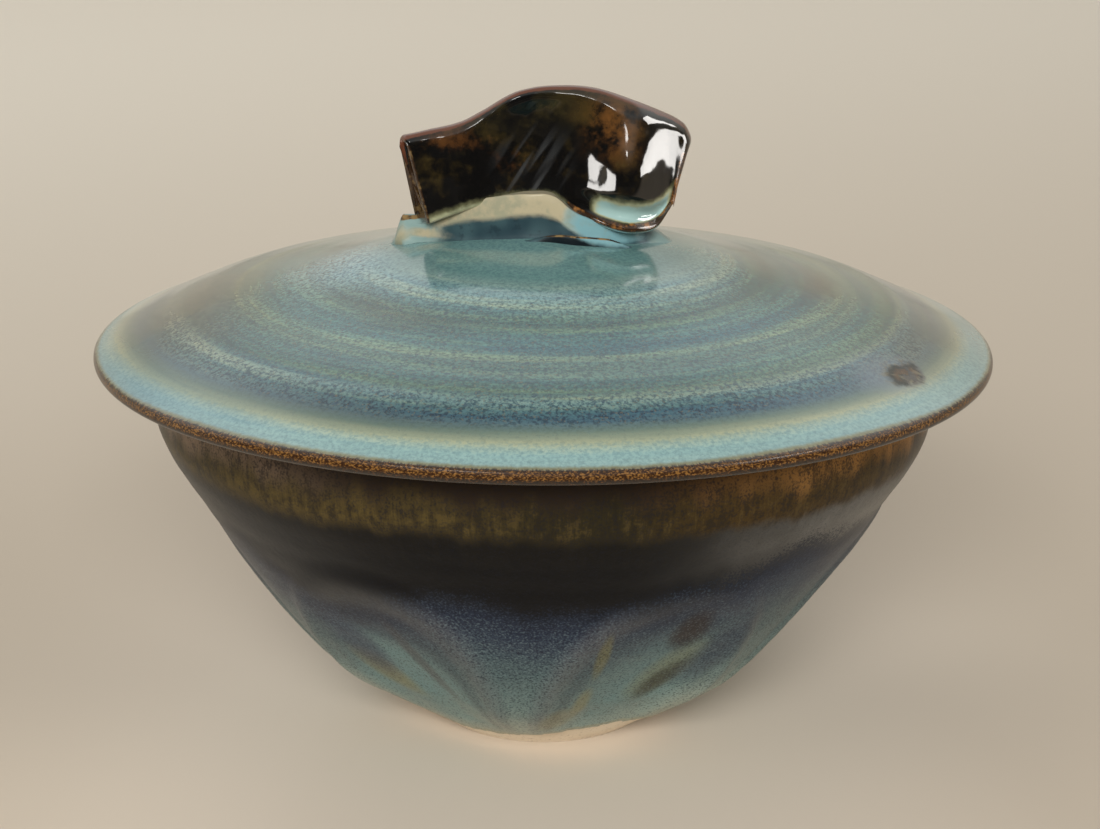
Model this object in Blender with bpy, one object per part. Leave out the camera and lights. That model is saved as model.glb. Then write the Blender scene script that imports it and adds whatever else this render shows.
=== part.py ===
"""A wheel-thrown stoneware bowl with a lift-off lid and a pinched clay handle.

Four pieces, in metres, +Z up, with the foot standing on z = 0 and the axis of the
bowl on the Z axis: the bowl with its trimmed foot, the domed lid with a locating
flange underneath, a low wad of clay luted to the lid, and the bent slab of clay
that stands on the wad as the handle. The handle's long way is X.
"""

import math

import bmesh
import bpy

# ---- the bowl ---------------------------------------------------------------
BOWL_RADIUS = 0.0763          # outside, at the mouth
BOWL_HEIGHT = 0.0758          # foot to the top of the rim
BOWL_WALL = 0.0045
FOOT_RADIUS = 0.0214          # outside of the bare foot ring
FOOT_RING_WIDTH = 0.0050
FOOT_RECESS = 0.0028          # how far the underside is trimmed up inside the ring
FLOOR_THICKNESS = 0.0045
RIM_EDGE = 0.0012             # rounding of the two edges of the mouth
FOOT_EDGE = 0.0006            # bevel round the bottom of the foot ring

# Outside of the wall: share of the height against share of the way from foot to mouth.
BOWL_OUTLINE = ((0.0, 0.0), (0.04, 0.078), (0.11, 0.228), (0.2, 0.395), (0.32, 0.54), (0.48, 0.697),
                (0.66, 0.858), (0.84, 0.998), (1.0, 1.0))

DENT_COUNT = 6                # thumb dents pressed round the lower wall
DENT_FIRST_ANGLE = math.radians(20.0)   # from the front, -Y, towards +X
DENT_HALF_WIDTH = math.radians(20.0)
DENT_SLANT = math.radians(5.0)          # how far a dent's top leans towards +X at the front
DENT_DEPTH = 0.0030
DENT_TOP = 0.0430             # where the dents fade out
DENT_DEEPEST = 0.0150

# ---- the lid ----------------------------------------------------------------
LID_OVERHANG = 0.0127         # how far the lip stands out past the mouth
LID_WALL = 0.0045
LID_RISE = 0.0240             # from the middle of the lip to the crown
LIP_RADIUS = 0.0014           # the lip is a round edge, twice this thick
SEAT_GAP = 0.0003             # between the lid and the rim that it rests on
FLANGE_CLEARANCE = 0.0012     # all round, between the flange and the inside of the mouth
FLANGE_DEPTH = 0.0080         # below the seat
FLANGE_WALL = 0.0036

# Top of the lid: share of the radius against share of the rise.
LID_OUTLINE = ((0.0, 1.0), (0.14, 0.93), (0.41, 0.72), (0.685, 0.482), (0.8, 0.383), (0.89, 0.246), (1.0, 0.058))

# The mouth and the lid dried out of level: they lean down to +X and up to -Y.
LEAN_X = -0.0072
LEAN_Y = -0.0172

# ---- the handle and the wad of clay under it ---------------------------------
HANDLE_LENGTH = 0.0569        # along its top
HANDLE_BASE_LENGTH = 0.0490   # along its lower edge
HANDLE_CENTRE_X = 0.0007      # it was set down a little off the middle of the lid
HANDLE_RISE = 0.0280          # its highest point above the crown of the lid
HANDLE_FOOT_GAP = 0.0004      # between the slab and the wad, and the wad and the lid
HANDLE_EDGE = 0.6             # rounding of the lower corners, as a share of half the thickness
END_BIAS = 0.35               # how far the left end is cut askew, per length of thickness

# Stations along the slab, from -1 at its left end to 1 at its right end.
TOP_EDGE = ((-1.0, 0.655), (-0.59, 0.743), (-0.447, 0.814), (-0.278, 0.921), (-0.17, 0.965), (0.1, 1.0),
            (0.306, 0.986), (0.6, 0.905), (0.79, 0.83), (0.947, 0.735), (1.0, 0.655))
LOWER_EDGE = ((-1.0, 0.0008), (-0.7, 0.0032), (-0.36, 0.0052), (-0.1, 0.0060), (0.15, 0.0056),
              (0.42, 0.0020), (0.7, 0.0004), (0.88, 0.0012), (1.0, 0.0056))
LOWER_SWAY = ((-1.0, -0.0010), (-0.5, -0.0005), (0.0, 0.0010), (0.3, -0.0005), (0.65, -0.0050), (1.0, -0.0032))
TOP_SWAY = ((-1.0, -0.0005), (-0.4, 0.0008), (0.1, 0.0012), (0.6, -0.0010), (1.0, -0.0022))
LOWER_THICKNESS = ((-1.0, 0.0070), (-0.4, 0.0080), (0.3, 0.0088), (0.7, 0.0080), (1.0, 0.0042))
TOP_THICKNESS = ((-1.0, 0.0036), (0.0, 0.0046), (0.65, 0.0054), (1.0, 0.0040))
FINGER_HOLLOW = 0.0022        # how far the front is pressed in at the middle
LOBE_BULGE = 0.0026           # how far the right side swells to the front

WAD_PAST_LEFT = 0.0055        # how far the wad of clay shows past each end of the slab
WAD_PAST_RIGHT = 0.0010
WAD_FALL = 0.35               # slope of its top past the slab
WAD_FRONT = 0.0098            # reach from the middle to each side
WAD_BACK = 0.0115
WAD_SHOULDER = 0.42           # share of the way in from its edge where the wad reaches full height
WAD_EDGE = 0.0007             # thickness of its feathered edge

# ---- how finely the pieces are drawn ------------------------------------------
TURNED_STEPS = 72
HANDLE_STATIONS = 30
WAD_STEPS = 40
WAD_RINGS = 9


def clear_scene():
    """Remove every object that is already in the scene."""
    for obj in list(bpy.data.objects):
        bpy.data.objects.remove(obj, do_unlink=True)


def clay(name, colour, roughness):
    """A Principled material for one piece."""
    material = bpy.data.materials.new(name)
    material.use_nodes = True
    shader = material.node_tree.nodes["Principled BSDF"]
    shader.inputs["Base Color"].default_value = (*colour, 1.0)
    shader.inputs["Roughness"].default_value = roughness
    shader.inputs["Metallic"].default_value = 0.0
    return material


def curve_value(points, at):
    """Height of the smooth curve through the points, which are (across, up) pairs in order."""
    if at <= points[0][0]:
        return points[0][1]
    if at >= points[-1][0]:
        return points[-1][1]
    right = next(i for i, point in enumerate(points) if point[0] >= at)
    (x0, y0), (x1, y1) = points[right - 1], points[right]
    share = (at - x0) / (x1 - x0)

    def slope(i):
        low, high = points[max(i - 1, 0)], points[min(i + 1, len(points) - 1)]
        return (high[1] - low[1]) / (high[0] - low[0])

    m0 = slope(right - 1) * (x1 - x0)
    m1 = slope(right) * (x1 - x0)
    s2 = share * share
    s3 = s2 * share
    return (y0 * (2 * s3 - 3 * s2 + 1) + m0 * (s3 - 2 * s2 + share)
            + y1 * (3 * s2 - 2 * s3) + m1 * (s3 - s2))


def smooth_step(low, high, value):
    """0 below low, 1 above high, and a smooth climb between."""
    share = min(max((value - low) / (high - low), 0.0), 1.0)
    return share * share * (3.0 - 2.0 * share)


def arc(centre, radius, start, end, steps):
    """Points of an arc in the (r, z) plane, angles in degrees, both ends included."""
    angles = [math.radians(start + (end - start) * i / steps) for i in range(steps + 1)]
    return [(centre[0] + radius * math.cos(a), centre[1] + radius * math.sin(a)) for a in angles]


def add_object(name, mesh, material):
    """Put a finished mesh in the scene as one shaded piece."""
    obj = bpy.data.objects.new(name, mesh)
    bpy.context.scene.collection.objects.link(obj)
    mesh.materials.append(material)
    mesh.shade_smooth()
    mesh.set_sharp_from_angle(angle=math.radians(40.0))
    return obj


def turned(name, profile, shape, material):
    """Spin a closed (r, z) profile round Z, then move each point by shape(x, y, z)."""
    mesh = bpy.data.meshes.new(name)
    work = bmesh.new()
    verts = [work.verts.new((r, 0.0, z)) for r, z in profile]
    edges = [work.edges.new(pair) for pair in zip(verts, verts[1:])]
    bmesh.ops.spin(work, geom=verts + edges, cent=(0.0, 0.0, 0.0), axis=(0.0, 0.0, 1.0),
                   angle=math.tau, steps=TURNED_STEPS, use_merge=True)
    bmesh.ops.remove_doubles(work, verts=work.verts, dist=0.00001)
    bmesh.ops.recalc_face_normals(work, faces=work.faces)
    for vert in work.verts:
        vert.co = shape(*vert.co)
    work.to_mesh(mesh)
    work.free()
    return add_object(name, mesh, material)


def lofted(name, rings, material):
    """Skin a row of closed rings and close both ends."""
    mesh = bpy.data.meshes.new(name)
    work = bmesh.new()
    loops = [[work.verts.new(point) for point in ring] for ring in rings]
    count = len(loops[0])
    for low, high in zip(loops, loops[1:]):
        for i in range(count):
            j = (i + 1) % count
            work.faces.new((low[i], low[j], high[j], high[i]))
    for ring in (loops[0], loops[-1]):
        cap = work.faces.new(ring)
        bmesh.ops.poke(work, faces=[cap])
    bmesh.ops.recalc_face_normals(work, faces=work.faces)
    work.to_mesh(mesh)
    work.free()
    return add_object(name, mesh, material)


# ---- bowl ---------------------------------------------------------------------

def bowl_radius(z):
    """Outside radius of the bowl at a height, before it is dented."""
    share = curve_value(BOWL_OUTLINE, z / BOWL_HEIGHT)
    return FOOT_RADIUS + (BOWL_RADIUS - FOOT_RADIUS) * share


def bowl_inside(z):
    """(r, z) of the inner wall opposite the outside at a height."""
    step = BOWL_HEIGHT * 0.01
    low, high = max(z - step, 0.0), min(z + step, BOWL_HEIGHT)
    flare = (bowl_radius(high) - bowl_radius(low)) / (high - low)
    slant = math.hypot(1.0, flare)
    return bowl_radius(z) - BOWL_WALL / slant, z + BOWL_WALL * flare / slant


def bowl_profile():
    """Closed outline from the middle of the floor, over the rim and down to the foot's recess."""
    floor = FOOT_RECESS + FLOOR_THICKNESS
    heights = [BOWL_HEIGHT * share for share in (0.05, 0.1, 0.17, 0.26, 0.36, 0.47, 0.58, 0.69, 0.79, 0.88)]
    inner = [bowl_inside(z) for z in heights]
    inner = [point for point in inner if point[1] > floor * 1.15 and point[1] < BOWL_HEIGHT - 2 * RIM_EDGE]
    mouth = BOWL_RADIUS - BOWL_WALL
    inner_edge = arc((mouth + RIM_EDGE, BOWL_HEIGHT - RIM_EDGE), RIM_EDGE, 180, 90, 3)
    outer_edge = arc((BOWL_RADIUS - RIM_EDGE, BOWL_HEIGHT - RIM_EDGE), RIM_EDGE, 90, 0, 3)
    outer = [(bowl_radius(z), z) for z in reversed(heights) if z < BOWL_HEIGHT - 2 * RIM_EDGE]
    first_inner = inner[0][0]
    well = [(0.0, floor), (first_inner * 0.45, floor), (first_inner * 0.8, (floor * 2 + inner[0][1]) / 3)]
    foot = [(FOOT_RADIUS + FOOT_EDGE, FOOT_EDGE), (FOOT_RADIUS, 0.0), (FOOT_RADIUS - FOOT_RING_WIDTH, 0.0),
            (FOOT_RADIUS - FOOT_RING_WIDTH - FOOT_RECESS * 0.4, FOOT_RECESS), (0.0, FOOT_RECESS)]
    return well + inner + inner_edge + outer_edge + outer + foot


def dent(x, y, z):
    """How far the wall is pushed in at a place on it: scallops that round off at their tops."""
    height = z / DENT_TOP
    if height >= 1.0:
        return 0.0
    pitch = math.tau / DENT_COUNT
    from_front = math.atan2(y, x) + math.tau / 4
    turn = (from_front - DENT_FIRST_ANGLE - DENT_SLANT * height) % pitch
    width = DENT_HALF_WIDTH * (1.0 - height ** 3) ** 0.5
    across = min(min(turn, pitch - turn) / max(width, 0.01), 1.0)
    fade = smooth_step(0.0, DENT_DEEPEST / DENT_TOP, height) * smooth_step(0.0, 0.6, 1.0 - height)
    return DENT_DEPTH * fade * (1.0 - across ** 2) ** 1.5


def lean(x, y):
    """Rise of the out-of-level mouth at a place."""
    return LEAN_X * x + LEAN_Y * y


def shape_bowl(x, y, z):
    """Press the dents into the turned wall, and let its upper part lean."""
    r = math.hypot(x, y)
    if r > FOOT_RADIUS and z > 0.0:
        scale = (r - dent(x, y, z)) / r
        x, y = x * scale, y * scale
    share = smooth_step(0.35, 1.0, z / BOWL_HEIGHT)
    return x, y, z + lean(x, y) * share


def make_bowl():
    """The thrown bowl with its foot ring."""
    glaze = clay("brown_and_blue_glaze", (0.045, 0.06, 0.075), 0.32)
    return turned("bowl", bowl_profile(), shape_bowl, glaze)


# ---- lid ----------------------------------------------------------------------

LID_RADIUS = BOWL_RADIUS + LID_OVERHANG
SEAT_HEIGHT = BOWL_HEIGHT + SEAT_GAP
LIP_HEIGHT = SEAT_HEIGHT + LIP_RADIUS
CROWN_HEIGHT = LIP_HEIGHT + LID_RISE
FLANGE_RADIUS = BOWL_RADIUS - BOWL_WALL - FLANGE_CLEARANCE


def lid_top(r):
    """Height of the lid's upper face at a radius, before it leans."""
    reach = LID_RADIUS - LIP_RADIUS
    return LIP_HEIGHT + LID_RISE * curve_value(LID_OUTLINE, r / reach)


def lid_surface(x, y):
    """Height of the lid's upper face at a place."""
    return lid_top(math.hypot(x, y)) + lean(x, y)


def lid_profile():
    """Closed outline from the crown, round the lip and the flange, to the middle of the underside."""
    reach = LID_RADIUS - LIP_RADIUS
    shares = (0.0, 0.07, 0.14, 0.23, 0.33, 0.44, 0.55, 0.66, 0.76, 0.85, 0.93)
    top = [(reach * share, lid_top(reach * share)) for share in shares]
    lip = arc((reach, LIP_HEIGHT), LIP_RADIUS, 78, -90, 6)
    flange_foot = SEAT_HEIGHT - FLANGE_DEPTH
    edge = FLANGE_WALL / 2
    flange = [(FLANGE_RADIUS, SEAT_HEIGHT)]
    flange += arc((FLANGE_RADIUS - edge, flange_foot + edge), edge, 0, -180, 4)
    inside = FLANGE_RADIUS - FLANGE_WALL
    join = lid_top(inside) - LID_WALL
    flange += [(inside, join - LID_WALL * 0.3)]
    radii = [inside * share for share in (0.97, 0.85, 0.68, 0.5, 0.32, 0.15, 0.0)]
    under = [(r, lid_top(r) - LID_WALL) for r in radii]
    return top + lip + flange + under


def shape_lid(x, y, z):
    """Lean the lid with the mouth that it sits on."""
    return x, y, z + lean(x, y)


def make_lid():
    """The domed lid with its flange."""
    glaze = clay("sea_blue_glaze", (0.16, 0.30, 0.34), 0.18)
    return turned("lid", lid_profile(), shape_lid, glaze)


# ---- wad and handle -------------------------------------------------------------

def lower_edge(u):
    """Height of the slab's lower edge at a station."""
    return CROWN_HEIGHT + curve_value(LOWER_EDGE, u)


def wad_top(x):
    """Height of the top of the wad along X, a gap below the slab's lower edge."""
    along = x - HANDLE_CENTRE_X
    station = along / (HANDLE_BASE_LENGTH / 2)
    slab = lower_edge(min(max(station, -1.0), 1.0)) - HANDLE_FOOT_GAP
    past = max(abs(along) - HANDLE_BASE_LENGTH / 2, 0.0)
    return slab - past * WAD_FALL


def make_wad():
    """The low wad of clay that carries the slab, with flanks that sweep down to the lid."""
    rings = []
    for ring in range(WAD_RINGS + 1):
        share = 1.0 - ring / WAD_RINGS
        rings.append([wad_point(share, math.tau * i / WAD_STEPS) for i in range(WAD_STEPS)])
    mesh = bpy.data.meshes.new("handle_base")
    work = bmesh.new()
    upper = [[work.verts.new((x, y, top)) for x, y, top, _ in ring] for ring in rings[:-1]]
    lower = [[work.verts.new((x, y, foot)) for x, y, _, foot in ring] for ring in rings[:-1]]
    x, y, top, foot = rings[-1][0]
    for loops, height in ((upper, top), (lower, foot)):
        middle = work.verts.new((x, y, height))
        for outer, inner in zip(loops, loops[1:]):
            for i in range(WAD_STEPS):
                j = (i + 1) % WAD_STEPS
                work.faces.new((outer[i], outer[j], inner[j], inner[i]))
        for i in range(WAD_STEPS):
            work.faces.new((loops[-1][i], loops[-1][(i + 1) % WAD_STEPS], middle))
    for i in range(WAD_STEPS):
        j = (i + 1) % WAD_STEPS
        work.faces.new((lower[0][i], lower[0][j], upper[0][j], upper[0][i]))
    bmesh.ops.recalc_face_normals(work, faces=work.faces)
    work.to_mesh(mesh)
    work.free()
    return add_object("handle_base", mesh, clay("pooled_cream_glaze", (0.30, 0.40, 0.38), 0.2))


def wad_point(share, angle):
    """(x, y, top, foot) of the wad at a share of its way out, in a direction."""
    across, along = math.sin(angle), math.cos(angle)
    past = WAD_PAST_RIGHT if along > 0 else WAD_PAST_LEFT
    x = HANDLE_CENTRE_X + share * along * (HANDLE_BASE_LENGTH / 2 + past)
    y = share * across * (WAD_BACK if across > 0 else WAD_FRONT)
    foot = lid_surface(x, y) + HANDLE_FOOT_GAP
    rise = smooth_step(0.0, WAD_SHOULDER, 1.0 - share) ** 1.4
    height = max(wad_top(x) - foot, WAD_EDGE)
    return x, y, foot + WAD_EDGE + (height - WAD_EDGE) * rise, foot


def slab_point(u, height, side):
    """A point on the slab: station u, share of its height, and -1 front to 1 back."""
    lower = lower_edge(u)
    top = CROWN_HEIGHT + HANDLE_RISE * curve_value(TOP_EDGE, u)
    thick = curve_value(LOWER_THICKNESS, u) * (1.0 - height) + curve_value(TOP_THICKNESS, u) * height
    sway = curve_value(LOWER_SWAY, u) * (1.0 - height) + curve_value(TOP_SWAY, u) * height
    belly = math.sin(math.pi * min(max(height, 0.0), 1.0))
    hollow = FINGER_HOLLOW * belly * math.exp(-((u + 0.12) / 0.3) ** 2)
    bulge = LOBE_BULGE * belly * math.exp(-((u - 0.62) / 0.25) ** 2)
    y = sway + side * thick / 2 + hollow - bulge
    x = HANDLE_CENTRE_X + u * (HANDLE_BASE_LENGTH * (1.0 - height) + HANDLE_LENGTH * height) / 2
    x -= END_BIAS * side * thick / 2 * smooth_step(0.7, 1.0, -u)
    return x, y, lower + (top - lower) * height


def slab_section(u):
    """Closed ring of the slab at a station: up the front, over the top, down the back."""
    rise = CROWN_HEIGHT + HANDLE_RISE * curve_value(TOP_EDGE, u) - lower_edge(u)
    top_round = curve_value(TOP_THICKNESS, u) / 2 / rise
    foot_round = curve_value(LOWER_THICKNESS, u) / 2 * HANDLE_EDGE / rise
    sides = [foot_round + (1.0 - top_round - foot_round) * i / 5 for i in range(6)]
    front = [slab_point(u, height, -1.0) for height in sides]
    angles = [math.pi * i / 6 for i in range(1, 6)]
    over = [slab_point(u, 1.0 - top_round + top_round * math.sin(a), -math.cos(a)) for a in angles]
    back = [slab_point(u, height, 1.0) for height in reversed(sides)]
    foot = [slab_point(u, foot_round * 0.25, 0.85), slab_point(u, 0.0, 0.45), slab_point(u, 0.0, -0.45),
            slab_point(u, foot_round * 0.25, -0.85)]
    return front + over + back + foot


def make_handle():
    """The bent slab of clay that the lid is lifted by."""
    stations = [-1.0 + 2.0 * i / HANDLE_STATIONS for i in range(HANDLE_STATIONS + 1)]
    rings = [slab_section(u) for u in stations]
    return lofted("handle", rings, clay("black_brown_glaze", (0.022, 0.014, 0.008), 0.12))


def main():
    """Clear the scene and build the four pieces; the lid carries the wad and the handle."""
    clear_scene()
    make_bowl()
    lid = make_lid()
    for piece in (make_wad(), make_handle()):
        piece.parent = lid


main()
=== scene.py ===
"""The looks of a lidded yarn bowl: a thrown stoneware bowl and lid, with a pinched handle luted on.

Everything is in metres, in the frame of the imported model: the axis of the bowl is Z, its foot
stands on z = 0 and -Y is the front. Angles round the pot run from the front towards +X.
"""
import logging
import math
from collections.abc import Callable, Mapping, Sequence
from dataclasses import dataclass
from enum import Enum

import bmesh
import bpy
import numpy as np
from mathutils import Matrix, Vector, noise


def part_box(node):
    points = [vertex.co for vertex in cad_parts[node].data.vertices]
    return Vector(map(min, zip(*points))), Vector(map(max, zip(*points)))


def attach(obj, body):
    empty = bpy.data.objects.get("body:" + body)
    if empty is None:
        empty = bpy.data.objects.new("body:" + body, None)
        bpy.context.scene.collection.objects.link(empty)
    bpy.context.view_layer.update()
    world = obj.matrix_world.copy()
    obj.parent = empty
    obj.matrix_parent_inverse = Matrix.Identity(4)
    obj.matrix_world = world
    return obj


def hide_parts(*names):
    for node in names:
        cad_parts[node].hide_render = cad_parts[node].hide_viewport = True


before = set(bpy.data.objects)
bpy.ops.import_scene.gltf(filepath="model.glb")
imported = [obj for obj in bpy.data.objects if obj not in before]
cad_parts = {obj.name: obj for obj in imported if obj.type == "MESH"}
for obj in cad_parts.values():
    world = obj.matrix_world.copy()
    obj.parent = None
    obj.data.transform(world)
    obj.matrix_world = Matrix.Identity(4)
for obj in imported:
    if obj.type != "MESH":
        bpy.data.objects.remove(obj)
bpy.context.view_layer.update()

LOG = logging.getLogger("yarn_bowl")
MM = 0.001

Pair = tuple[float, float]
Triple = tuple[float, float, float]
Colour = tuple[float, float, float]
Stops = Sequence[tuple[float, Colour]]    # of a colour ramp, in order


class Piece(Enum):
    """The pieces by name."""

    BOWL = "bowl_body"
    LID = "lid_dome"
    WAD = "handle_wad"
    SLAB = "handle_slab"


# ---- curves that the pieces share -------------------------------------------------------

def curve_value(points: Sequence[Pair], at: float) -> float:
    """Height of the smooth curve through some points.

    Args:
        points: (across, up) pairs in order.
        at: where across.

    Returns:
        How far up the curve is there, flat past its ends.
    """
    if at <= points[0][0]:
        return points[0][1]
    if at >= points[-1][0]:
        return points[-1][1]
    right = next(i for i, point in enumerate(points) if point[0] >= at)
    (x0, y0), (x1, y1) = points[right - 1], points[right]
    share = (at - x0) / (x1 - x0)

    def slope(i: int) -> float:
        """Slope of the curve at one of its points."""
        low, high = points[max(i - 1, 0)], points[min(i + 1, len(points) - 1)]
        return (high[1] - low[1]) / (high[0] - low[0])

    m0 = slope(right - 1) * (x1 - x0)
    m1 = slope(right) * (x1 - x0)
    s2 = share * share
    s3 = s2 * share
    return (y0 * (2 * s3 - 3 * s2 + 1) + m0 * (s3 - 2 * s2 + share)
            + y1 * (3 * s2 - 2 * s3) + m1 * (s3 - s2))


def smooth_step(low: float, high: float, value: float) -> float:
    """0 up to low, 1 past high and a smooth climb between; it falls where high is the smaller."""
    share = min(max((value - low) / (high - low), 0.0), 1.0)
    return share * share * (3.0 - 2.0 * share)


def hump(value: float, middle: float, width: float) -> float:
    """A rounded hill of height 1 over its middle."""
    return math.exp(-((value - middle) / width) ** 2)


def plateau(value: float, rise: Pair, fall: Pair) -> float:
    """A flat hill of height 1, with a smooth climb over one stretch and a smooth fall over another."""
    return smooth_step(*rise, value) * (1.0 - smooth_step(*fall, value))


def arc(centre: Pair, radius: float, start: float, end: float, steps: int) -> list[Pair]:
    """Points of an arc in the (r, z) plane, angles in degrees, both ends included."""
    angles = [math.radians(start + (end - start) * i / steps) for i in range(steps + 1)]
    return [(centre[0] + radius * math.cos(a), centre[1] + radius * math.sin(a)) for a in angles]


def wander(place: Triple, size: float, seed: float) -> float:
    """Soft unevenness between -1 and 1 at a place; size is the width of its swells in metres."""
    return noise.noise(Vector(place) / size + Vector((seed, seed * 0.37, -seed)))


# ---- node trees ---------------------------------------------------------------------------

def math_operator(operation: str, swapped: bool = False) -> Callable[["Wire", "Wire | float"], "Wire"]:
    """The method behind an operator of Wire.

    Args:
        operation: what its Math node does.
        swapped: whether the wire comes second, as in 1.0 - wire.

    Returns:
        The method.
    """
    def method(wire: "Wire", other: "Wire | float") -> "Wire":
        """Add the Math node."""
        return wire.desk.maths(operation, *((other, wire) if swapped else (wire, other)))

    return method


class Wire:
    """An output socket of a node. A sum written with it adds Math nodes to its tree."""

    __add__, __radd__ = math_operator("ADD"), math_operator("ADD", swapped=True)
    __sub__, __rsub__ = math_operator("SUBTRACT"), math_operator("SUBTRACT", swapped=True)
    __mul__, __rmul__ = math_operator("MULTIPLY"), math_operator("MULTIPLY", swapped=True)
    __truediv__ = math_operator("DIVIDE")
    __pow__ = math_operator("POWER")

    def __init__(self, desk: "Desk", socket: bpy.types.NodeSocket) -> None:
        """Hold a socket and the desk that its tree is drawn on."""
        self.desk = desk
        self.socket = socket

    def __neg__(self) -> "Wire":
        """The wire with its sign turned."""
        return self * -1.0


class Desk:
    """A node tree that is drawn by code."""

    def __init__(self, tree: bpy.types.NodeTree) -> None:
        """Start drawing on a tree."""
        self.tree = tree

    def node(self, kind: str, settings: Mapping | None = None, inputs: Mapping | None = None,
             output: int | str = 0) -> Wire:
        """Add one node.

        Args:
            kind: Blender's name of the node type.
            settings: its settings, set before its sockets; "stops" are a colour ramp's.
            inputs: values or wires by socket name or number.
            output: the output socket that is wanted.

        Returns:
            That output.
        """
        node = self.tree.nodes.new(kind)
        for name, value in (settings or {}).items():
            if name == "stops":
                self.set_stops(node.color_ramp, value)
            else:
                setattr(node, name, value)
        for key, value in (inputs or {}).items():
            self.plug(node.inputs[key], value)
        return Wire(self, node.outputs[output])

    def plug(self, socket: bpy.types.NodeSocket, value: object) -> None:
        """Link a wire to a socket, or set the socket's own value.

        Args:
            socket: an input of a node.
            value: a wire, a number, a colour, or what else the socket takes.
        """
        if isinstance(value, Wire):
            self.tree.links.new(value.socket, socket)
        elif socket.type == "RGBA":
            socket.default_value = (*value, 1.0)
        else:
            socket.default_value = value

    @staticmethod
    def set_stops(ramp: bpy.types.ColorRamp, stops: Stops) -> None:
        """Give a colour ramp its (place, colour) stops.

        Args:
            ramp: the ramp.
            stops: in order.
        """
        while len(ramp.elements) < len(stops):
            ramp.elements.new(1.0)
        for element, (place, colour) in zip(ramp.elements, stops):
            element.position = place
            element.color = (*colour, 1.0)

    def maths(self, operation: str, *values: "Wire | float") -> Wire:
        """One Math node."""
        return self.node("ShaderNodeMath", {"operation": operation}, dict(enumerate(values)))

    def parts(self, vector: Wire) -> tuple[Wire, Wire, Wire]:
        """The x, y and z of a vector.

        Args:
            vector: the vector.

        Returns:
            Its three numbers.
        """
        first = self.node("ShaderNodeSeparateXYZ", {}, {0: vector})
        outputs = first.socket.node.outputs
        return first, Wire(self, outputs[1]), Wire(self, outputs[2])

    def vector(self, x: "Wire | float", y: "Wire | float", z: "Wire | float") -> Wire:
        """A vector from three numbers."""
        return self.node("ShaderNodeCombineXYZ", {}, {0: x, 1: y, 2: z})

    def smooth(self, value: Wire, low: float, high: float) -> Wire:
        """A smooth climb from 0 at low to 1 at high, or a fall where high is the smaller."""
        settings = {"interpolation_type": "SMOOTHSTEP"}
        return self.node("ShaderNodeMapRange", settings, {0: value, 1: low, 2: high, 3: 0.0, 4: 1.0})

    def band(self, value: Wire, middle: "Wire | float", width: float) -> Wire:
        """A soft ridge of height 1 where value is at the middle."""
        away = self.maths("ABSOLUTE", value - middle)
        return self.smooth(away, width, 0.0)

    def noise(self, vector: Wire, scale: float, detail: float = 2.0, roughness: float = 0.5,
              distortion: float = 0.0) -> Wire:
        """Soft noise about a half, whose cells are 1 / scale across.

        Args:
            vector: where.
            scale: cells per metre.
            detail: how many finer layers.
            roughness: how strong they are.
            distortion: how far it is pulled about.

        Returns:
            The noise.
        """
        values = {"Vector": vector, "Scale": scale, "Detail": detail, "Roughness": roughness,
                  "Distortion": distortion}
        return self.node("ShaderNodeTexNoise", {}, values)

    def mix(self, share: "Wire | float", first: "Wire | Colour", second: "Wire | Colour",
            blend: str = "MIX") -> Wire:
        """Colour first where share is 0 and second where it is 1."""
        settings = {"data_type": "RGBA", "blend_type": blend, "clamp_factor": True}
        return self.node("ShaderNodeMix", settings, {0: share, 6: first, 7: second}, 2)

    def laid(self, colour: "Wire | Colour", *layers: "tuple[Wire | float, Wire | Colour]",
             blend: str = "MIX") -> Wire:
        """A colour with (share, colour) layers laid over it in turn.

        Args:
            colour: the lowest.
            layers: the pairs.
            blend: how each goes over what is under it.

        Returns:
            The colour.
        """
        for share, over in layers:
            colour = self.mix(share, colour, over, blend)
        return colour

    def tinted(self, colour: "Wire | Colour", *layers: "tuple[Wire | float, Colour]") -> Wire:
        """A colour with (share, tint) layers over it, which multiply what is under them."""
        return self.laid(colour, *layers, blend="MULTIPLY")

    def ramp(self, value: Wire, stops: Stops) -> Wire:
        """A colour read off a ramp."""
        return self.node("ShaderNodeValToRGB", {"stops": stops}, {0: value})

    def around(self, angle: Wire, count: float, level: "Wire | float") -> Wire:
        """A place for noise that runs round the pot and meets itself at the back."""
        return self.vector(self.maths("SINE", angle) * count, self.maths("COSINE", angle) * count, level)

    def drops(self, angle: Wire, level: Wire) -> Wire:
        """Broad noise about 0 round the pot."""
        return self.noise(self.around(angle, 14.0, level * 20.0), 1.0, 2.0) - 0.5

    def sway(self, angle: Wire) -> Wire:
        """How the edge of the glaze goes up and down round the foot, in three waves."""
        return self.maths("COSINE", (angle - 0.45) * 3.0)

    def polar(self, place: Wire) -> tuple[Wire, Wire, Wire]:
        """Radius, angle from the front and height of a place."""
        x, y, z = self.parts(place)
        return (x * x + y * y) ** 0.5, self.maths("ARCTAN2", x, -y), z


class GlazeDesk(Desk):
    """A material's tree, with the place that it colours as wires."""

    def __init__(self, tree: bpy.types.NodeTree) -> None:
        """Start drawing on a tree.

        Args:
            tree: of the material.
        """
        super().__init__(tree)
        self.place = self.node("ShaderNodeTexCoord", {}, {}, "Object")
        self.x, self.y, self.z = self.parts(self.place)
        self.radius, self.angle, _ = self.polar(self.place)

    def specks(self, scale: float, detail: float, roughness: float = 0.5, distortion: float = 0.0) -> Wire:
        """Soft noise about a half over the piece, whose cells are 1 / scale across."""
        return self.noise(self.place, scale, detail, roughness, distortion)

    def attribute(self, name: str) -> Wire:
        """A number stored on the piece's points."""
        return self.node("ShaderNodeAttribute", {"attribute_name": name}, {}, "Fac")


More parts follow.
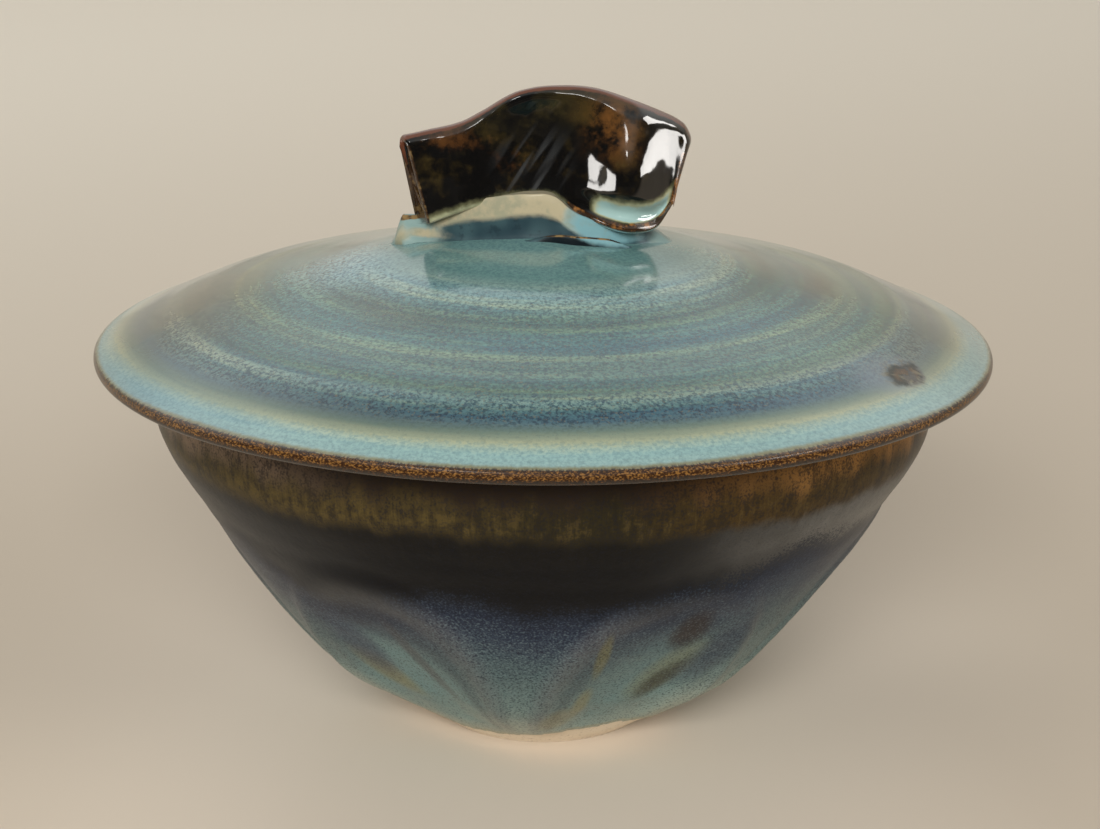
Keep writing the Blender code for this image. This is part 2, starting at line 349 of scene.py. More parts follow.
class ShapeDesk(Desk):
    """A Geometry Nodes tree with named inputs, which makes one piece."""

    def __init__(self, name: str) -> None:
        """Start a tree that takes a geometry and gives one back.

        Args:
            name: of the tree.
        """
        super().__init__(bpy.data.node_groups.new(name, "GeometryNodeTree"))
        face = self.tree.interface
        face.new_socket(name="Geometry", in_out="INPUT", socket_type="NodeSocketGeometry")
        face.new_socket(name="Geometry", in_out="OUTPUT", socket_type="NodeSocketGeometry")
        self.entry = self.tree.nodes.new("NodeGroupInput")
        self.exit = self.tree.nodes.new("NodeGroupOutput")
        self.values: dict[str, object] = {}

    @property
    def geometry(self) -> Wire:
        """The geometry that comes in."""
        return Wire(self, self.entry.outputs[0])

    def size(self, name: str, value: float) -> Wire:
        """A named number among the tree's inputs."""
        kind = "NodeSocketInt" if isinstance(value, int) else "NodeSocketFloat"
        return self.input(name, kind, value)

    def input(self, name: str, kind: str, value: object) -> Wire:
        """A named input of any kind, with the value that the modifier will give it.

        Args:
            name: of the input.
            kind: Blender's name of the socket type.
            value: what the modifier sets it to.

        Returns:
            The input inside the tree.
        """
        socket = self.tree.interface.new_socket(name=name, in_out="INPUT", socket_type=kind)
        self.values[socket.identifier] = value
        return Wire(self, self.entry.outputs[name])

    def place(self) -> Wire:
        """Where each point is."""
        return self.node("GeometryNodeInputPosition")

    def attribute(self, name: str) -> Wire:
        """A number stored on the geometry's points."""
        return self.node("GeometryNodeInputNamedAttribute", {"data_type": "FLOAT"}, {"Name": name})

    def moved(self, geometry: Wire, offset: Wire) -> Wire:
        """The geometry with its points moved."""
        return self.node("GeometryNodeSetPosition", {}, {"Geometry": geometry, "Offset": offset})

    def stored(self, geometry: Wire, name: str, value: Wire) -> Wire:
        """The geometry with a number stored on its points.

        Args:
            geometry: the geometry.
            name: of the number.
            value: the number.

        Returns:
            The geometry with it.
        """
        settings = {"data_type": "FLOAT", "domain": "POINT"}
        return self.node("GeometryNodeStoreNamedAttribute", settings,
                         {"Geometry": geometry, "Name": name, "Value": value})

    def sampled(self, source: Wire, kind: str, value: Wire, index: Wire) -> Wire:
        """What value is on one point of another geometry.

        Args:
            source: the other geometry.
            kind: Blender's name of the data type.
            value: evaluated on that geometry.
            index: of the point.

        Returns:
            The value.
        """
        settings = {"data_type": kind, "domain": "POINT", "clamp": True}
        return self.node("GeometryNodeSampleIndex", settings,
                         {"Geometry": source, "Value": value, "Index": index})

    def turned(self, outline: Wire, steps: Wire) -> Wire:
        """Turn an outline in the (r, z) plane round Z, as a wheel does.

        Args:
            outline: a line of points from axis to axis, with "past" stored on them.
            steps: how many points go round.

        Returns:
            The closed skin, with "past" stored on it.
        """
        rows = self.node("GeometryNodeAttributeDomainSize", {"component": "MESH"}, {0: outline})
        grid = self.node("GeometryNodeMeshGrid", {}, {0: 1.0, 1: 1.0, 2: steps + 1, 3: rows})
        u, v, _ = self.parts(self.place())
        index = self.maths("ROUND", (v + 0.5) * (rows - 1))
        angle = (u + 0.5) * math.tau
        radius, _, height = self.parts(self.sampled(outline, "FLOAT_VECTOR", self.place(), index))
        past = self.sampled(outline, "FLOAT", self.attribute("past"), index)
        skin = self.stored(grid, "past", past)
        x, y = radius * self.maths("COSINE", angle), radius * self.maths("SINE", angle)
        place = {"Geometry": skin, "Position": self.vector(x, y, height)}
        skin = self.node("GeometryNodeSetPosition", {}, place)
        skin = self.node("GeometryNodeMergeByDistance", {}, {"Geometry": skin, "Distance": 0.01 * MM})
        return self.node("GeometryNodeFlipFaces", {}, {0: skin})

    def along_normal(self, distance: Wire) -> Wire:
        """An offset square to the surface."""
        normal = self.node("GeometryNodeInputNormal")
        return self.node("ShaderNodeVectorMath", {"operation": "SCALE"}, {0: normal, "Scale": distance})

    def finished(self, skin: Wire, material: bpy.types.Material) -> None:
        """End the tree: smooth shading, no instances, and its glaze.

        Args:
            skin: the geometry to end with.
            material: the glaze.
        """
        glaze = self.input("Glaze", "NodeSocketMaterial", material)
        skin = self.node("GeometryNodeSetShadeSmooth", {}, {"Geometry": skin, "Shade Smooth": True})
        skin = self.node("GeometryNodeRealizeInstances", {}, {"Geometry": skin})
        skin = self.node("GeometryNodeSetMaterial", {}, {"Geometry": skin, "Material": glaze})
        self.tree.links.new(skin.socket, self.exit.inputs[0])

    def make(self, piece: Piece, source: bpy.types.Mesh) -> bpy.types.Object:
        """Run the tree on a mesh.

        Args:
            piece: which piece this makes.
            source: the mesh that goes in.

        Returns:
            A plain mesh object with no modifier.
        """
        carrier = bpy.data.objects.new(piece.value + "_source", source)
        bpy.context.scene.collection.objects.link(carrier)
        modifier = carrier.modifiers.new("shape", "NODES")
        modifier.node_group = self.tree
        for identifier, value in self.values.items():
            modifier[identifier] = value
        graph = bpy.context.evaluated_depsgraph_get()
        graph.update()
        mesh = bpy.data.meshes.new_from_object(carrier.evaluated_get(graph), depsgraph=graph)
        carrier.modifiers.remove(modifier)
        bpy.data.objects.remove(carrier, do_unlink=True)
        return add_piece(piece, mesh)


def add_piece(piece: Piece, mesh: bpy.types.Mesh) -> bpy.types.Object:
    """Put a closed mesh in the scene as a smooth piece with its faces outwards.

    Args:
        piece: which piece it is.
        mesh: its skin.

    Returns:
        The object.
    """
    work = bmesh.new()
    work.from_mesh(mesh)
    bmesh.ops.recalc_face_normals(work, faces=work.faces)
    if work.calc_volume(signed=True) < 0.0:
        bmesh.ops.reverse_faces(work, faces=work.faces)
    work.to_mesh(mesh)
    work.free()
    mesh.name = piece.value
    mesh.shade_smooth()
    made = bpy.data.objects.new(piece.value, mesh)
    bpy.context.scene.collection.objects.link(made)
    return made


# ---- finishes -------------------------------------------------------------------------------

CREAM_CLAY = (0.80, 0.71, 0.58)  # linear, as are all colours here


@dataclass(frozen=True)
class Painted:
    """What a finish gives its shader."""

    colour: Wire
    roughness: "Wire | float"
    height: Wire
    coat: "Wire | float" = 0.0


@dataclass(frozen=True)
class Finish:
    """A fired surface: the part of it that every glaze shares."""

    name: str
    ior: float = 1.5
    specular: float = 0.5
    coat_roughness: float = 0.04
    relief: float = 0.1 * MM      # depth of the finest unevenness

    def paint(self, desk: GlazeDesk) -> Painted:
        """Draw the colours; each finish has its own.

        Args:
            desk: where the nodes go.

        Returns:
            What the shader is given.
        """
        raise NotImplementedError

    def material(self) -> bpy.types.Material:
        """The material for a piece.

        Returns:
            The material.
        """
        material = bpy.data.materials.new(self.name)
        material.use_nodes = True
        desk = GlazeDesk(material.node_tree)
        shader = material.node_tree.nodes["Principled BSDF"]
        painted = self.paint(desk)
        relief = {"Strength": 1.0, "Distance": self.relief, "Height": painted.height}
        inputs = {"IOR": self.ior, "Specular IOR Level": self.specular,
                  "Coat Roughness": self.coat_roughness, "Base Color": painted.colour,
                  "Roughness": painted.roughness, "Coat Weight": painted.coat,
                  "Normal": desk.node("ShaderNodeBump", {}, relief)}
        for name, value in inputs.items():
            desk.plug(shader.inputs[name], value)
        return material


def bare_clay(desk: GlazeDesk) -> Wire:
    """Cream stoneware with toasted patches and fine grog.

    Args:
        desk: where the nodes go.

    Returns:
        Its colour.
    """
    toast = desk.smooth(desk.specks(60.0, 3.0), 0.42, 0.70)
    grog = desk.smooth(desk.specks(1300.0, 1.0), 0.62, 0.70)
    return desk.laid(CREAM_CLAY, (toast * 0.35, (0.60, 0.48, 0.34)), (grog * 0.35, (0.30, 0.22, 0.15)))


@dataclass(frozen=True)
class LidPatch:
    """A soft patch on the lid, where the glaze ran thin or pooled."""

    angle: float                  # from the front towards +X
    half_angle: float
    radius: float
    half_width: float             # along the radius
    colour: Colour
    strength: float = 1.0
    tints: bool = False           # its colour multiplies the glaze under it
    sway: float = 0.4             # how far its edge wanders round the lid
    drift: float = 0.02           # how far its edge wanders along the radius

    def share(self, desk: GlazeDesk, cloud: Wire) -> Wire:
        """How much of the patch is at a place.

        Args:
            desk: where the nodes go.
            cloud: broad noise about 0.

        Returns:
            The share, from 0 to 1.
        """
        around = desk.band(desk.angle + cloud * self.sway, self.angle, self.half_angle)
        along = desk.band(desk.radius + cloud * self.drift, self.radius, self.half_width)
        return around * along * self.strength


@dataclass(frozen=True)
class SeaGlaze(Finish):
    """Glossy sea-blue glaze in throwing rings, which breaks to brown and gold over the lip."""

    reach: float = 0.0876         # from the axis to where the lip starts
    ring_stops: Stops = (
        (0.27, (0.125, 0.250, 0.250)), (0.31, (0.110, 0.225, 0.225)), (0.355, (0.165, 0.275, 0.265)),
        (0.395, (0.155, 0.275, 0.280)), (0.445, (0.110, 0.212, 0.200)), (0.480, (0.060, 0.142, 0.125)),
        (0.510, (0.036, 0.098, 0.086)), (0.540, (0.056, 0.152, 0.135)), (0.570, (0.052, 0.158, 0.155)),
        (0.605, (0.038, 0.138, 0.150)), (0.645, (0.074, 0.176, 0.160)), (0.690, (0.100, 0.182, 0.142)),
        (0.730, (0.048, 0.142, 0.138)), (0.785, (0.038, 0.104, 0.090)), (0.816, (0.105, 0.190, 0.190)),
        (0.845, (0.038, 0.105, 0.125)), (0.880, (0.052, 0.105, 0.130)), (0.905, (0.115, 0.170, 0.140)),
        (0.930, (0.285, 0.325, 0.225)), (0.945, (0.270, 0.370, 0.320)), (0.962, (0.215, 0.360, 0.365)),
        (1.0, (0.225, 0.350, 0.350)))
    patches: tuple[LidPatch, ...] = (
        LidPatch(-1.55, 0.60, 0.0680, 0.018, (0.130, 0.118, 0.086), 0.62, sway=0.6),
        LidPatch(-0.62, 0.45, 0.0470, 0.011, (0.72, 0.50, 0.42), 0.75, tints=True),
        LidPatch(-0.50, 0.60, 0.0775, 0.006, (0.45, 0.52, 0.52), 0.6, tints=True, drift=0.0),
        LidPatch(0.0, 0.90, 0.0580, 0.016, (0.84, 0.84, 0.86), tints=True, sway=0.3, drift=0.0),
        LidPatch(-1.45, 0.75, 0.0400, 0.018, (0.250, 0.430, 0.510), 0.95, sway=0.5),
        LidPatch(1.25, 0.50, 0.0775, 0.009, (0.105, 0.120, 0.085), 0.45, sway=0.6),
        LidPatch(1.55, 0.45, 0.0550, 0.007, (0.060, 0.062, 0.045), 0.8, drift=0.01))
    scar_middle: Triple = (0.0674, -0.0410, 0.0832)
    lilac: Colour = (0.16, 0.20, 0.25)            # round the scar
    ochre: Colour = (0.150, 0.115, 0.045)
    scar_dark: Colour = (0.008, 0.009, 0.003)
    scar_grey: Colour = (0.070, 0.063, 0.056)
    scar_rust: Colour = (0.115, 0.058, 0.020)
    olive: Colour = (0.165, 0.140, 0.048)         # where the blue starts to thin at the lip
    brown: Colour = (0.030, 0.013, 0.006)
    gold: Colour = (0.205, 0.100, 0.026)
    black: Colour = (0.016, 0.010, 0.006)
    under_dark: Colour = (0.014, 0.009, 0.006)
    under_rust: Colour = (0.090, 0.040, 0.014)
    well_brown: Colour = (0.045, 0.03, 0.02)
    well_blue: Colour = (0.05, 0.085, 0.10)

    def paint(self, desk: GlazeDesk) -> Painted:
        """Rings, streaks along them, patches, specks, the scar, and the lip.

        Args:
            desk: where the nodes go.

        Returns:
            What the shader is given.
        """
        radius, angle = desk.radius, desk.angle
        grain = desk.specks(1300.0, 2.0, 0.75) - 0.5
        inside = desk.smooth(radius, 0.0790, 0.0760) * desk.smooth(radius, 0.028, 0.040)
        fine = inside + desk.smooth(radius, 0.0775, 0.0800) * 0.35
        wide = desk.noise(desk.around(angle, 0.6, radius * 300.0), 1.0, 2.0, 0.6) + grain * 0.15
        streaks = desk.noise(desk.around(angle, 3.0, radius * 1000.0), 1.0, 3.0, 0.6) + grain * 0.3
        colour = desk.tinted(self.rings(desk, grain),
                             (desk.smooth(wide, 0.50, 0.60) * inside * 0.7, (1.75, 1.30, 1.05)),
                             (desk.smooth(wide, 0.49, 0.40) * inside * 0.7, (0.42, 0.66, 0.84)),
                             (desk.smooth(streaks, 0.50, 0.66) * fine * 0.5, (1.50, 1.30, 1.10)),
                             (desk.smooth(streaks, 0.50, 0.34) * fine * 0.5, (0.48, 0.66, 0.80)))
        colour = self.specked(desk, self.patched(desk, colour), inside, grain)
        colour, roughness, coat = self.lip(desk, *self.scar(desk, colour))
        relief = desk.specks(900.0, 2.0) * 0.08 + desk.specks(260.0, 1.0) * 0.10
        return Painted(colour, roughness, relief, coat)

    def rings(self, desk: GlazeDesk, grain: Wire) -> Wire:
        """Colour of the top in rings from the crown outwards, which spread towards the left.

        Args:
            desk: where the nodes go.
            grain: the finest noise, about 0.

        Returns:
            The colour of the ring.
        """
        wobble = desk.noise(desk.around(desk.angle, 0.9, desk.radius * 60.0), 1.0, 1.0) - 0.5
        spread = desk.band(desk.angle, -1.6, 1.0) * desk.smooth(desk.radius, 0.062, 0.080) * 3.2 * MM
        share = (desk.radius - spread) / self.reach + wobble * 0.03 + grain * 0.03
        return desk.ramp(share, self.ring_stops)

    def patched(self, desk: GlazeDesk, colour: Wire) -> Wire:
        """The colour with the patches over it, and bluer along the left of the rim.

        Args:
            desk: where the nodes go.
            colour: the colour so far.

        Returns:
            The colour with them.
        """
        cloud = desk.specks(40.0, 2.0) - 0.5
        for patch in self.patches:
            over = desk.tinted if patch.tints else desk.laid
            colour = over(colour, (patch.share(desk, cloud), patch.colour))
        rim = desk.band(desk.angle + cloud * 0.5, -1.00, 0.55) * desk.smooth(desk.radius, 0.0785, 0.0820)
        return desk.tinted(colour, (rim, (0.60, 0.74, 0.83)))

    @staticmethod
    def specked(desk: GlazeDesk, colour: Wire, inside: Wire, grain: Wire) -> Wire:
        """The colour with fine dark and light grains over it, thickest in the dark ring.

        Args:
            desk: where the nodes go.
            colour: the colour so far.
            inside: 1 in the rings, 0 on the crown and the rim.
            grain: the finest noise, about 0.

        Returns:
            The colour with them.
        """
        dense = 0.22 + inside * 0.45 + desk.band(desk.radius, 0.0755, 0.007) * inside * 0.3
        light = desk.smooth(grain, -0.01, -0.10) * (0.20 + inside * 0.55)
        colour = desk.tinted(colour, (desk.smooth(grain, 0.01, 0.10) * dense, (0.20, 0.32, 0.44)),
                             (light, (1.80, 1.60, 1.45)))
        dots = desk.smooth(desk.specks(1150.0, 1.0, 0.5, 0.3), 0.59, 0.67) * (0.12 + inside * 0.5)
        warm = desk.smooth(desk.specks(1900.0, 1.0), 0.59, 0.72) * inside * 0.40
        return desk.laid(colour, (dots, (0.020, 0.046, 0.078)), (warm, (0.170, 0.125, 0.055)))

    def scar(self, desk: GlazeDesk, colour: Wire) -> tuple[Wire, Wire]:
        """A small torn patch near the rim, where the glaze crawled and broke brown, grey and ochre.

        Args:
            desk: where the nodes go.
            colour: the glaze round the scar.

        Returns:
            The colour with the scar in it, and how glossy the place is.
        """
        x, y, z = (here - middle for here, middle in zip((desk.x, desk.y, desk.z), self.scar_middle))
        fall = z + y * 0.32
        torn = desk.specks(330.0, 3.0, 0.65)
        blots = desk.specks(300.0, 2.0, 0.6, 0.8)
        distance = ((x * 0.95) ** 2.0 + (fall * 1.55) ** 2.0) ** 0.5 + (torn - 0.5) * 3.2 * MM
        halo = desk.smooth(distance + x * 0.5, 6.5 * MM, 3.0 * MM)
        beside = desk.smooth(distance - y * 0.1 + x * 0.2, 5.0 * MM, 2.6 * MM)
        beside = beside * desk.smooth(blots, 0.56, 0.44)
        patch = desk.smooth(distance, 4.6 * MM, 2.6 * MM)
        grey = desk.mix(desk.smooth(torn + x * 45.0, 0.42, 0.62), self.scar_dark, self.scar_grey)
        rust = desk.smooth(distance, 2.6 * MM, 1.4 * MM) * desk.smooth(torn, 0.50, 0.42)
        colour = desk.laid(colour, (halo * 0.40, self.lilac), (beside * 0.7, self.ochre),
                           (patch * desk.smooth(blots, 0.30, 0.46) * 0.96, grey),
                           (rust * 0.6, self.scar_rust))
        return colour, 1.0 - patch

    def lip(self, desk: GlazeDesk, colour: Wire, glossy: Wire) -> tuple[Wire, Wire, Wire]:
        """Brown and gold over the lip, brown glaze beneath it, and bare clay where the lid sits.

        Args:
            desk: where the nodes go.
            colour: the glaze of the top.
            glossy: 0 in the scar, 1 round it.

        Returns:
            The colour, the roughness and the weight of the clear coat.
        """
        past, angle = desk.attribute("past"), desk.angle
        ragged = (desk.noise(desk.around(angle, 70.0, past * 260.0), 1.0, 3.0, 0.7) - 0.5) * 0.9 * MM
        worn = desk.smooth(angle, 0.20, 0.50) * desk.smooth(angle, 0.90, 0.60) * 0.35 * MM
        worn = worn - desk.smooth(desk.maths("ABSOLUTE", angle), 0.75, 1.10) * 0.75 * MM
        edge = past + ragged
        worn_edge = edge + worn
        flecks = desk.noise(desk.around(angle, 190.0, past * 3200.0), 1.0, 2.0, 0.6)
        teeth = desk.noise(desk.around(angle, 150.0, past * 500.0), 1.0, 1.0)
        dark = desk.band(worn_edge, -1.70 * MM, 0.80 * MM) * desk.smooth(teeth, 0.44, 0.54)
        thin = desk.smooth(desk.specks(130.0, 3.0), 0.42, 0.62)
        bare = desk.smooth(past, 9.2 * MM, 9.8 * MM) * desk.smooth(past, 0.034, 0.032)
        colour = desk.laid(
            colour,
            (desk.smooth(edge + worn * 1.4, -3.3 * MM, -2.2 * MM) * 0.85, self.olive),
            (desk.smooth(worn_edge, -2.05 * MM, -1.65 * MM),
             desk.mix(desk.smooth(flecks, 0.44, 0.66), self.brown, self.gold)),
            (dark * 0.92, self.black),
            (desk.smooth(edge, 0.0, 0.5 * MM),
             desk.mix(desk.smooth(flecks, 0.50, 0.72), self.under_dark, self.under_rust)),
            (desk.smooth(past, 0.030, 0.034), desk.mix(thin, self.well_brown, self.well_blue)),
            (bare, bare_clay(desk)))
        bright = glossy * desk.smooth(worn_edge, -1.4 * MM, -2.4 * MM)
        return colour, 0.24 + bare * 0.5 - bright * 0.08, (1.0 - bare) * bright * 0.4


@dataclass(frozen=True)
class Flow:
    """What the glaze of the wall is mixed from; all but the level are noises about 0."""

    level: Wire                   # height, as if the pot stood straight
    runs: Wire                    # downwards
    drops: Wire                   # broad, round the pot
    cloud: Wire                   # broad
    grains: Wire                  # the finest


@dataclass(frozen=True)
class Spot:
    """A stain in the glaze of the wall, placed by its angle round the pot and its height."""

    angle: float                  # degrees from the front towards +X
    height: float
    half_width: float             # across, in metres
    half_height: float
    slant: float                  # lean of its top, in metres across per metre up
    colour: Colour
    strength: float = 0.8

    def share(self, desk: GlazeDesk, flow: Flow) -> Wire:
        """How much of the stain is at a place.

        Args:
            desk: where the nodes go.
            flow: the level and the noises of the wall.

        Returns:
            The share, from 0 to 1.
        """
        up = flow.level - self.height
        across = (desk.angle - math.radians(self.angle)) * desk.radius - up * self.slant
        away = (across / self.half_width) ** 2.0 + (up / self.half_height) ** 2.0
        return desk.smooth(away + flow.cloud * 2.4, 2.2, 0.1) * self.strength


@dataclass(frozen=True)
class RutileGlaze(Finish):
    """Satin glaze that runs from rust at the mouth through near black to slate blue at the foot."""

    height: float = 0.0758
    lean: Pair = (0.0, 0.0)
    leans_from: float = 0.35      # share of the height below which the wall stands level
    glaze_line: float = 5.0 * MM  # height where the glaze stops above the foot
    line_sway: float = 1.8 * MM   # how far that line wanders up and down
    specular: float = 0.10
    # painted shade: the rust of the mouth at the front, darkened as if in the shadow of the lid's overhang
    rust_front_painted_shade: Colour = (0.020, 0.014, 0.010)
    rust_left: Colour = (0.235, 0.165, 0.115)
    rust_right: Colour = (0.300, 0.150, 0.042)
    blot: Colour = (0.018, 0.014, 0.010)
    olive_front_painted_shade: Colour = (0.021, 0.017, 0.008)
    # painted shade: the olive under the rust at the front, darkened as if in the shadow of the lid's overhang
    olive_left: Colour = (0.048, 0.035, 0.014)
    olive_right: Colour = (0.044, 0.027, 0.009)
    olive_dark: Colour = (0.014, 0.012, 0.009)
    olive_light: Colour = (0.085, 0.058, 0.022)
    glint: Colour = (0.080, 0.058, 0.018)
    near_black: Colour = (0.0042, 0.0042, 0.0046)
    slate: Colour = (0.034, 0.036, 0.038)
    # partly pale dust, partly a painted sheen of grazing reflection, on the right side
    slate_dust_and_sheen_right: Colour = (0.165, 0.163, 0.154)
    drip: Colour = (0.014, 0.012, 0.008)
    dent_pale: Colour = (0.150, 0.262, 0.265)
    dent_shade: Colour = (0.040, 0.050, 0.060)
    dent_line: Colour = (0.122, 0.126, 0.128)
    grain_dark: Colour = (0.010, 0.013, 0.024)
    grain_light: Colour = (0.16, 0.22, 0.24)
    glaze_edge: Colour = (0.30, 0.28, 0.17)       # just above the bare foot
    well: Colour = (0.065, 0.110, 0.125)          # inside
    well_ring: Colour = (0.13, 0.19, 0.185)
    well_rust: Colour = (0.10, 0.06, 0.028)
    well_floor: Colour = (0.040, 0.075, 0.100)
    well_speck: Colour = (0.020, 0.035, 0.050)
    low_stops: Stops = (
        (0.00, (0.370, 0.400, 0.320)), (0.15, (0.330, 0.400, 0.350)), (0.30, (0.135, 0.200, 0.194)),
        (0.55, (0.072, 0.112, 0.120)), (0.72, (0.036, 0.052, 0.076)), (0.83, (0.017, 0.025, 0.046)),
        (0.97, (0.005, 0.006, 0.009)))
    spots: tuple[Spot, ...] = (
        Spot(11.2, 0.0325, 1.2 * MM, 5.5 * MM, 0.05, (0.190, 0.170, 0.052), 0.5),
        Spot(9.5, 0.0180, 1.6 * MM, 4.5 * MM, 0.10, (0.230, 0.208, 0.075), 0.6),
        Spot(4.0, 0.0130, 3.0 * MM, 4.0 * MM, 0.30, (0.230, 0.210, 0.095), 0.5),
        Spot(28.0, 0.0250, 4.6 * MM, 7.5 * MM, 0.35, (0.170, 0.180, 0.095), 0.6),
        Spot(28.6, 0.0222, 2.9 * MM, 5.2 * MM, 0.35, (0.042, 0.046, 0.028), 0.9),
        Spot(27.7, 0.0367, 3.6 * MM, 4.6 * MM, 0.0, (0.024, 0.016, 0.014), 0.9),
        Spot(38.0, 0.0300, 5.0 * MM, 9.0 * MM, 0.3, (0.030, 0.040, 0.065), 0.7),
        Spot(-41.0, 0.0215, 4.0 * MM, 6.0 * MM, -0.3, (0.215, 0.196, 0.072), 0.75),
        Spot(-41.0, 0.0285, 4.5 * MM, 8.0 * MM, 0.0, (0.035, 0.048, 0.080), 0.8),
        Spot(-26.5, 0.0290, 1.8 * MM, 10.0 * MM, -0.25, (0.050, 0.045, 0.050), 0.65),
        Spot(92.0, 0.0260, 3.5 * MM, 7.0 * MM, 0.3, (0.220, 0.190, 0.070), 0.7),
        Spot(150.0, 0.0230, 3.0 * MM, 8.0 * MM, -0.3, (0.230, 0.200, 0.080), 0.7),
        Spot(-150.0, 0.0280, 3.5 * MM, 6.0 * MM, 0.2, (0.180, 0.170, 0.070), 0.7),
        Spot(-95.0, 0.0240, 2.5 * MM, 6.0 * MM, 0.3, (0.240, 0.220, 0.090), 0.7))

    def paint(self, desk: GlazeDesk) -> Painted:
        """Bands down the wall, runs between them, dents that break pale, and the bare foot.

        Args:
            desk: where the nodes go.

        Returns:
            What the shader is given.
        """
        angle, inner = desk.angle, desk.attribute("inner")
        lean = desk.x * self.lean[0] + desk.y * self.lean[1]
        level = desk.z - lean * desk.smooth(desk.z / self.height, self.leans_from, 1.0)
        grains = desk.specks(2300.0, 1.5, 0.6) - 0.5
        runs = desk.noise(desk.around(angle, 62.0, level * 90.0), 1.0, 3.0, 0.7) - 0.5
        runs = runs * 0.6 + (desk.specks(420.0, 2.0, 0.6) - 0.5) * 0.6
        drops = desk.drops(angle, level)
        cloud = desk.specks(30.0, 3.0) - 0.5
        flow = Flow(level, runs, drops, cloud, grains)
        colour = self.dents(desk, flow, self.bands(desk, flow))
        colour = desk.laid(colour, *((spot.share(desk, flow), spot.colour) for spot in self.spots))
        low = desk.smooth(level + cloud * 0.03, 0.050, 0.036)
        wave = runs * 0.2 + drops + desk.sway(angle)
        bead = level - wave * self.line_sway
        seat = desk.smooth(desk.attribute("seat"), 0.4, 0.6)
        foot = desk.smooth(bead, self.glaze_line + 0.15 * MM, self.glaze_line)
        bare = desk.maths("MAXIMUM", foot, seat)
        colour = desk.laid(
            colour,
            (desk.smooth(grains, 0.02, 0.16) * (0.25 + low * 0.4), self.grain_dark),
            (desk.smooth(grains, -0.04, -0.18) * low * 0.35, self.grain_light),
            (inner, self.inside(desk, flow)),
            (desk.band(bead, self.glaze_line + 0.7 * MM, 0.9 * MM) * 0.5, self.glaze_edge),
            (bare, bare_clay(desk)))
        roughness = 0.33 + bare * 0.42 - inner * 0.13 + grains * 0.12
        relief = desk.specks(700.0, 2.0) * 0.35 + desk.specks(120.0, 2.0) * 0.65
        return Painted(colour, roughness, relief)

    def bands(self, desk: GlazeDesk, flow: Flow) -> Wire:
        """Rust and olive at the mouth, near black under it, then navy, slate and pale teal.

        Args:
            desk: where the nodes go.
            flow: the level and the noises of the wall.

        Returns:
            The colour of the wall.
        """
        angle, level, runs, drops = desk.angle, flow.level, flow.runs, flow.drops
        cloud, grains = flow.cloud, flow.grains
        # side is 0 at the front, where the band's rust and olive carry painted shade under the lid's
        # overhang, and 1 round the sides
        side = desk.smooth(desk.maths("ABSOLUTE", angle + 0.1), 0.25, 1.1)
        left = desk.smooth(angle + cloud * 0.6, 0.10, -0.55)
        right = desk.smooth(angle + cloud * 0.6, 0.20, 0.55)
        edge_rust = desk.mix(desk.smooth(angle, -0.3, 0.3), self.rust_left, self.rust_right)
        blots = desk.smooth(runs * 0.6 + cloud * 0.5 + grains * 0.5, -0.02, 0.16)
        rust = desk.laid(self.rust_front_painted_shade, (side, edge_rust), (blots * 0.7, self.blot))
        rough = runs + grains * 0.4
        olive = desk.laid(self.olive_front_painted_shade, (left, self.olive_left), (right, self.olive_right),
                          (desk.smooth(rough, -0.02, 0.12) * 0.6, self.olive_dark),
                          (desk.smooth(rough, -0.04, -0.16) * 0.3, self.olive_light))
        glint = desk.band(level + drops * 0.006, 0.0645, 0.0030) * desk.smooth(runs, 0.02, -0.10)
        band = desk.laid(rust, (desk.smooth(level + drops * 0.010, 0.0715, 0.0660), olive),
                         (glint * (0.15 + left * 0.45), self.glint))
        edge = level + runs * 3.6 * MM + drops * 4.0 * MM + cloud * 3.0 * MM
        slate = desk.mix(right, self.slate, self.slate_dust_and_sheen_right)
        drips = desk.smooth(edge + runs * 9.0 * MM, 0.0545, 0.0610)
        # the sides lighter slate than the near black front: partly the glaze's own tone, partly a painted
        # sheen of grazing reflection
        dark = desk.laid(self.near_black, (side * desk.smooth(cloud, -0.30, 0.10), slate),
                         (drips * 0.35, self.drip))
        wander_angle = angle + cloud
        climb = desk.smooth(wander_angle, 0.30, 0.90) * 0.011 + desk.smooth(wander_angle, -0.5, -1.0) * 0.006
        fall = level - climb + cloud * 0.022 + runs * 0.004 + side * 0.003 + grains * 0.014
        return desk.laid(dark, (desk.smooth(edge, 0.0603, 0.0632), band),
                         (desk.smooth(fall, 0.0500, 0.0455), desk.ramp(fall / 0.050, self.low_stops)))

    def dents(self, desk: GlazeDesk, flow: Flow, colour: Wire) -> Wire:
        """Paler glaze in the dents, and a grey line where it thins over every other pair of ridges.

        Args:
            desk: where the nodes go.
            flow: the level and the noises of the wall.
            colour: the colour so far.

        Returns:
            The colour with them.
        """
        angle, level, cloud, petal = desk.angle, flow.level, flow.cloud, desk.attribute("petal")
        here = desk.smooth(level, 0.004, 0.010)
        left = desk.smooth(angle, 0.1, -0.3)
        sharp = 0.20 + desk.smooth(desk.maths("COSINE", (angle + 0.175) * 3.0), -0.3, 0.7) * 0.80
        hollow = desk.smooth(petal + cloud * 0.5, 0.95, 0.60) * here
        hollow = hollow * desk.smooth(level + cloud * 0.02, 0.046, 0.030)
        flank = desk.band(petal + cloud * 0.15, 0.85, 0.10) * here
        flank = flank * desk.smooth(level + cloud * 0.03, 0.042, 0.034)
        ridge = desk.band(petal + cloud * 0.10, 1.02, 0.17) * desk.smooth(level, 0.050, 0.040) * here
        return desk.laid(colour, (hollow * (0.5 + left * 0.25), self.dent_pale),
                         (flank * sharp * 0.4, self.dent_shade),
                         (ridge * sharp * (0.50 + flow.runs * 0.6 + cloud * 0.8), self.dent_line))

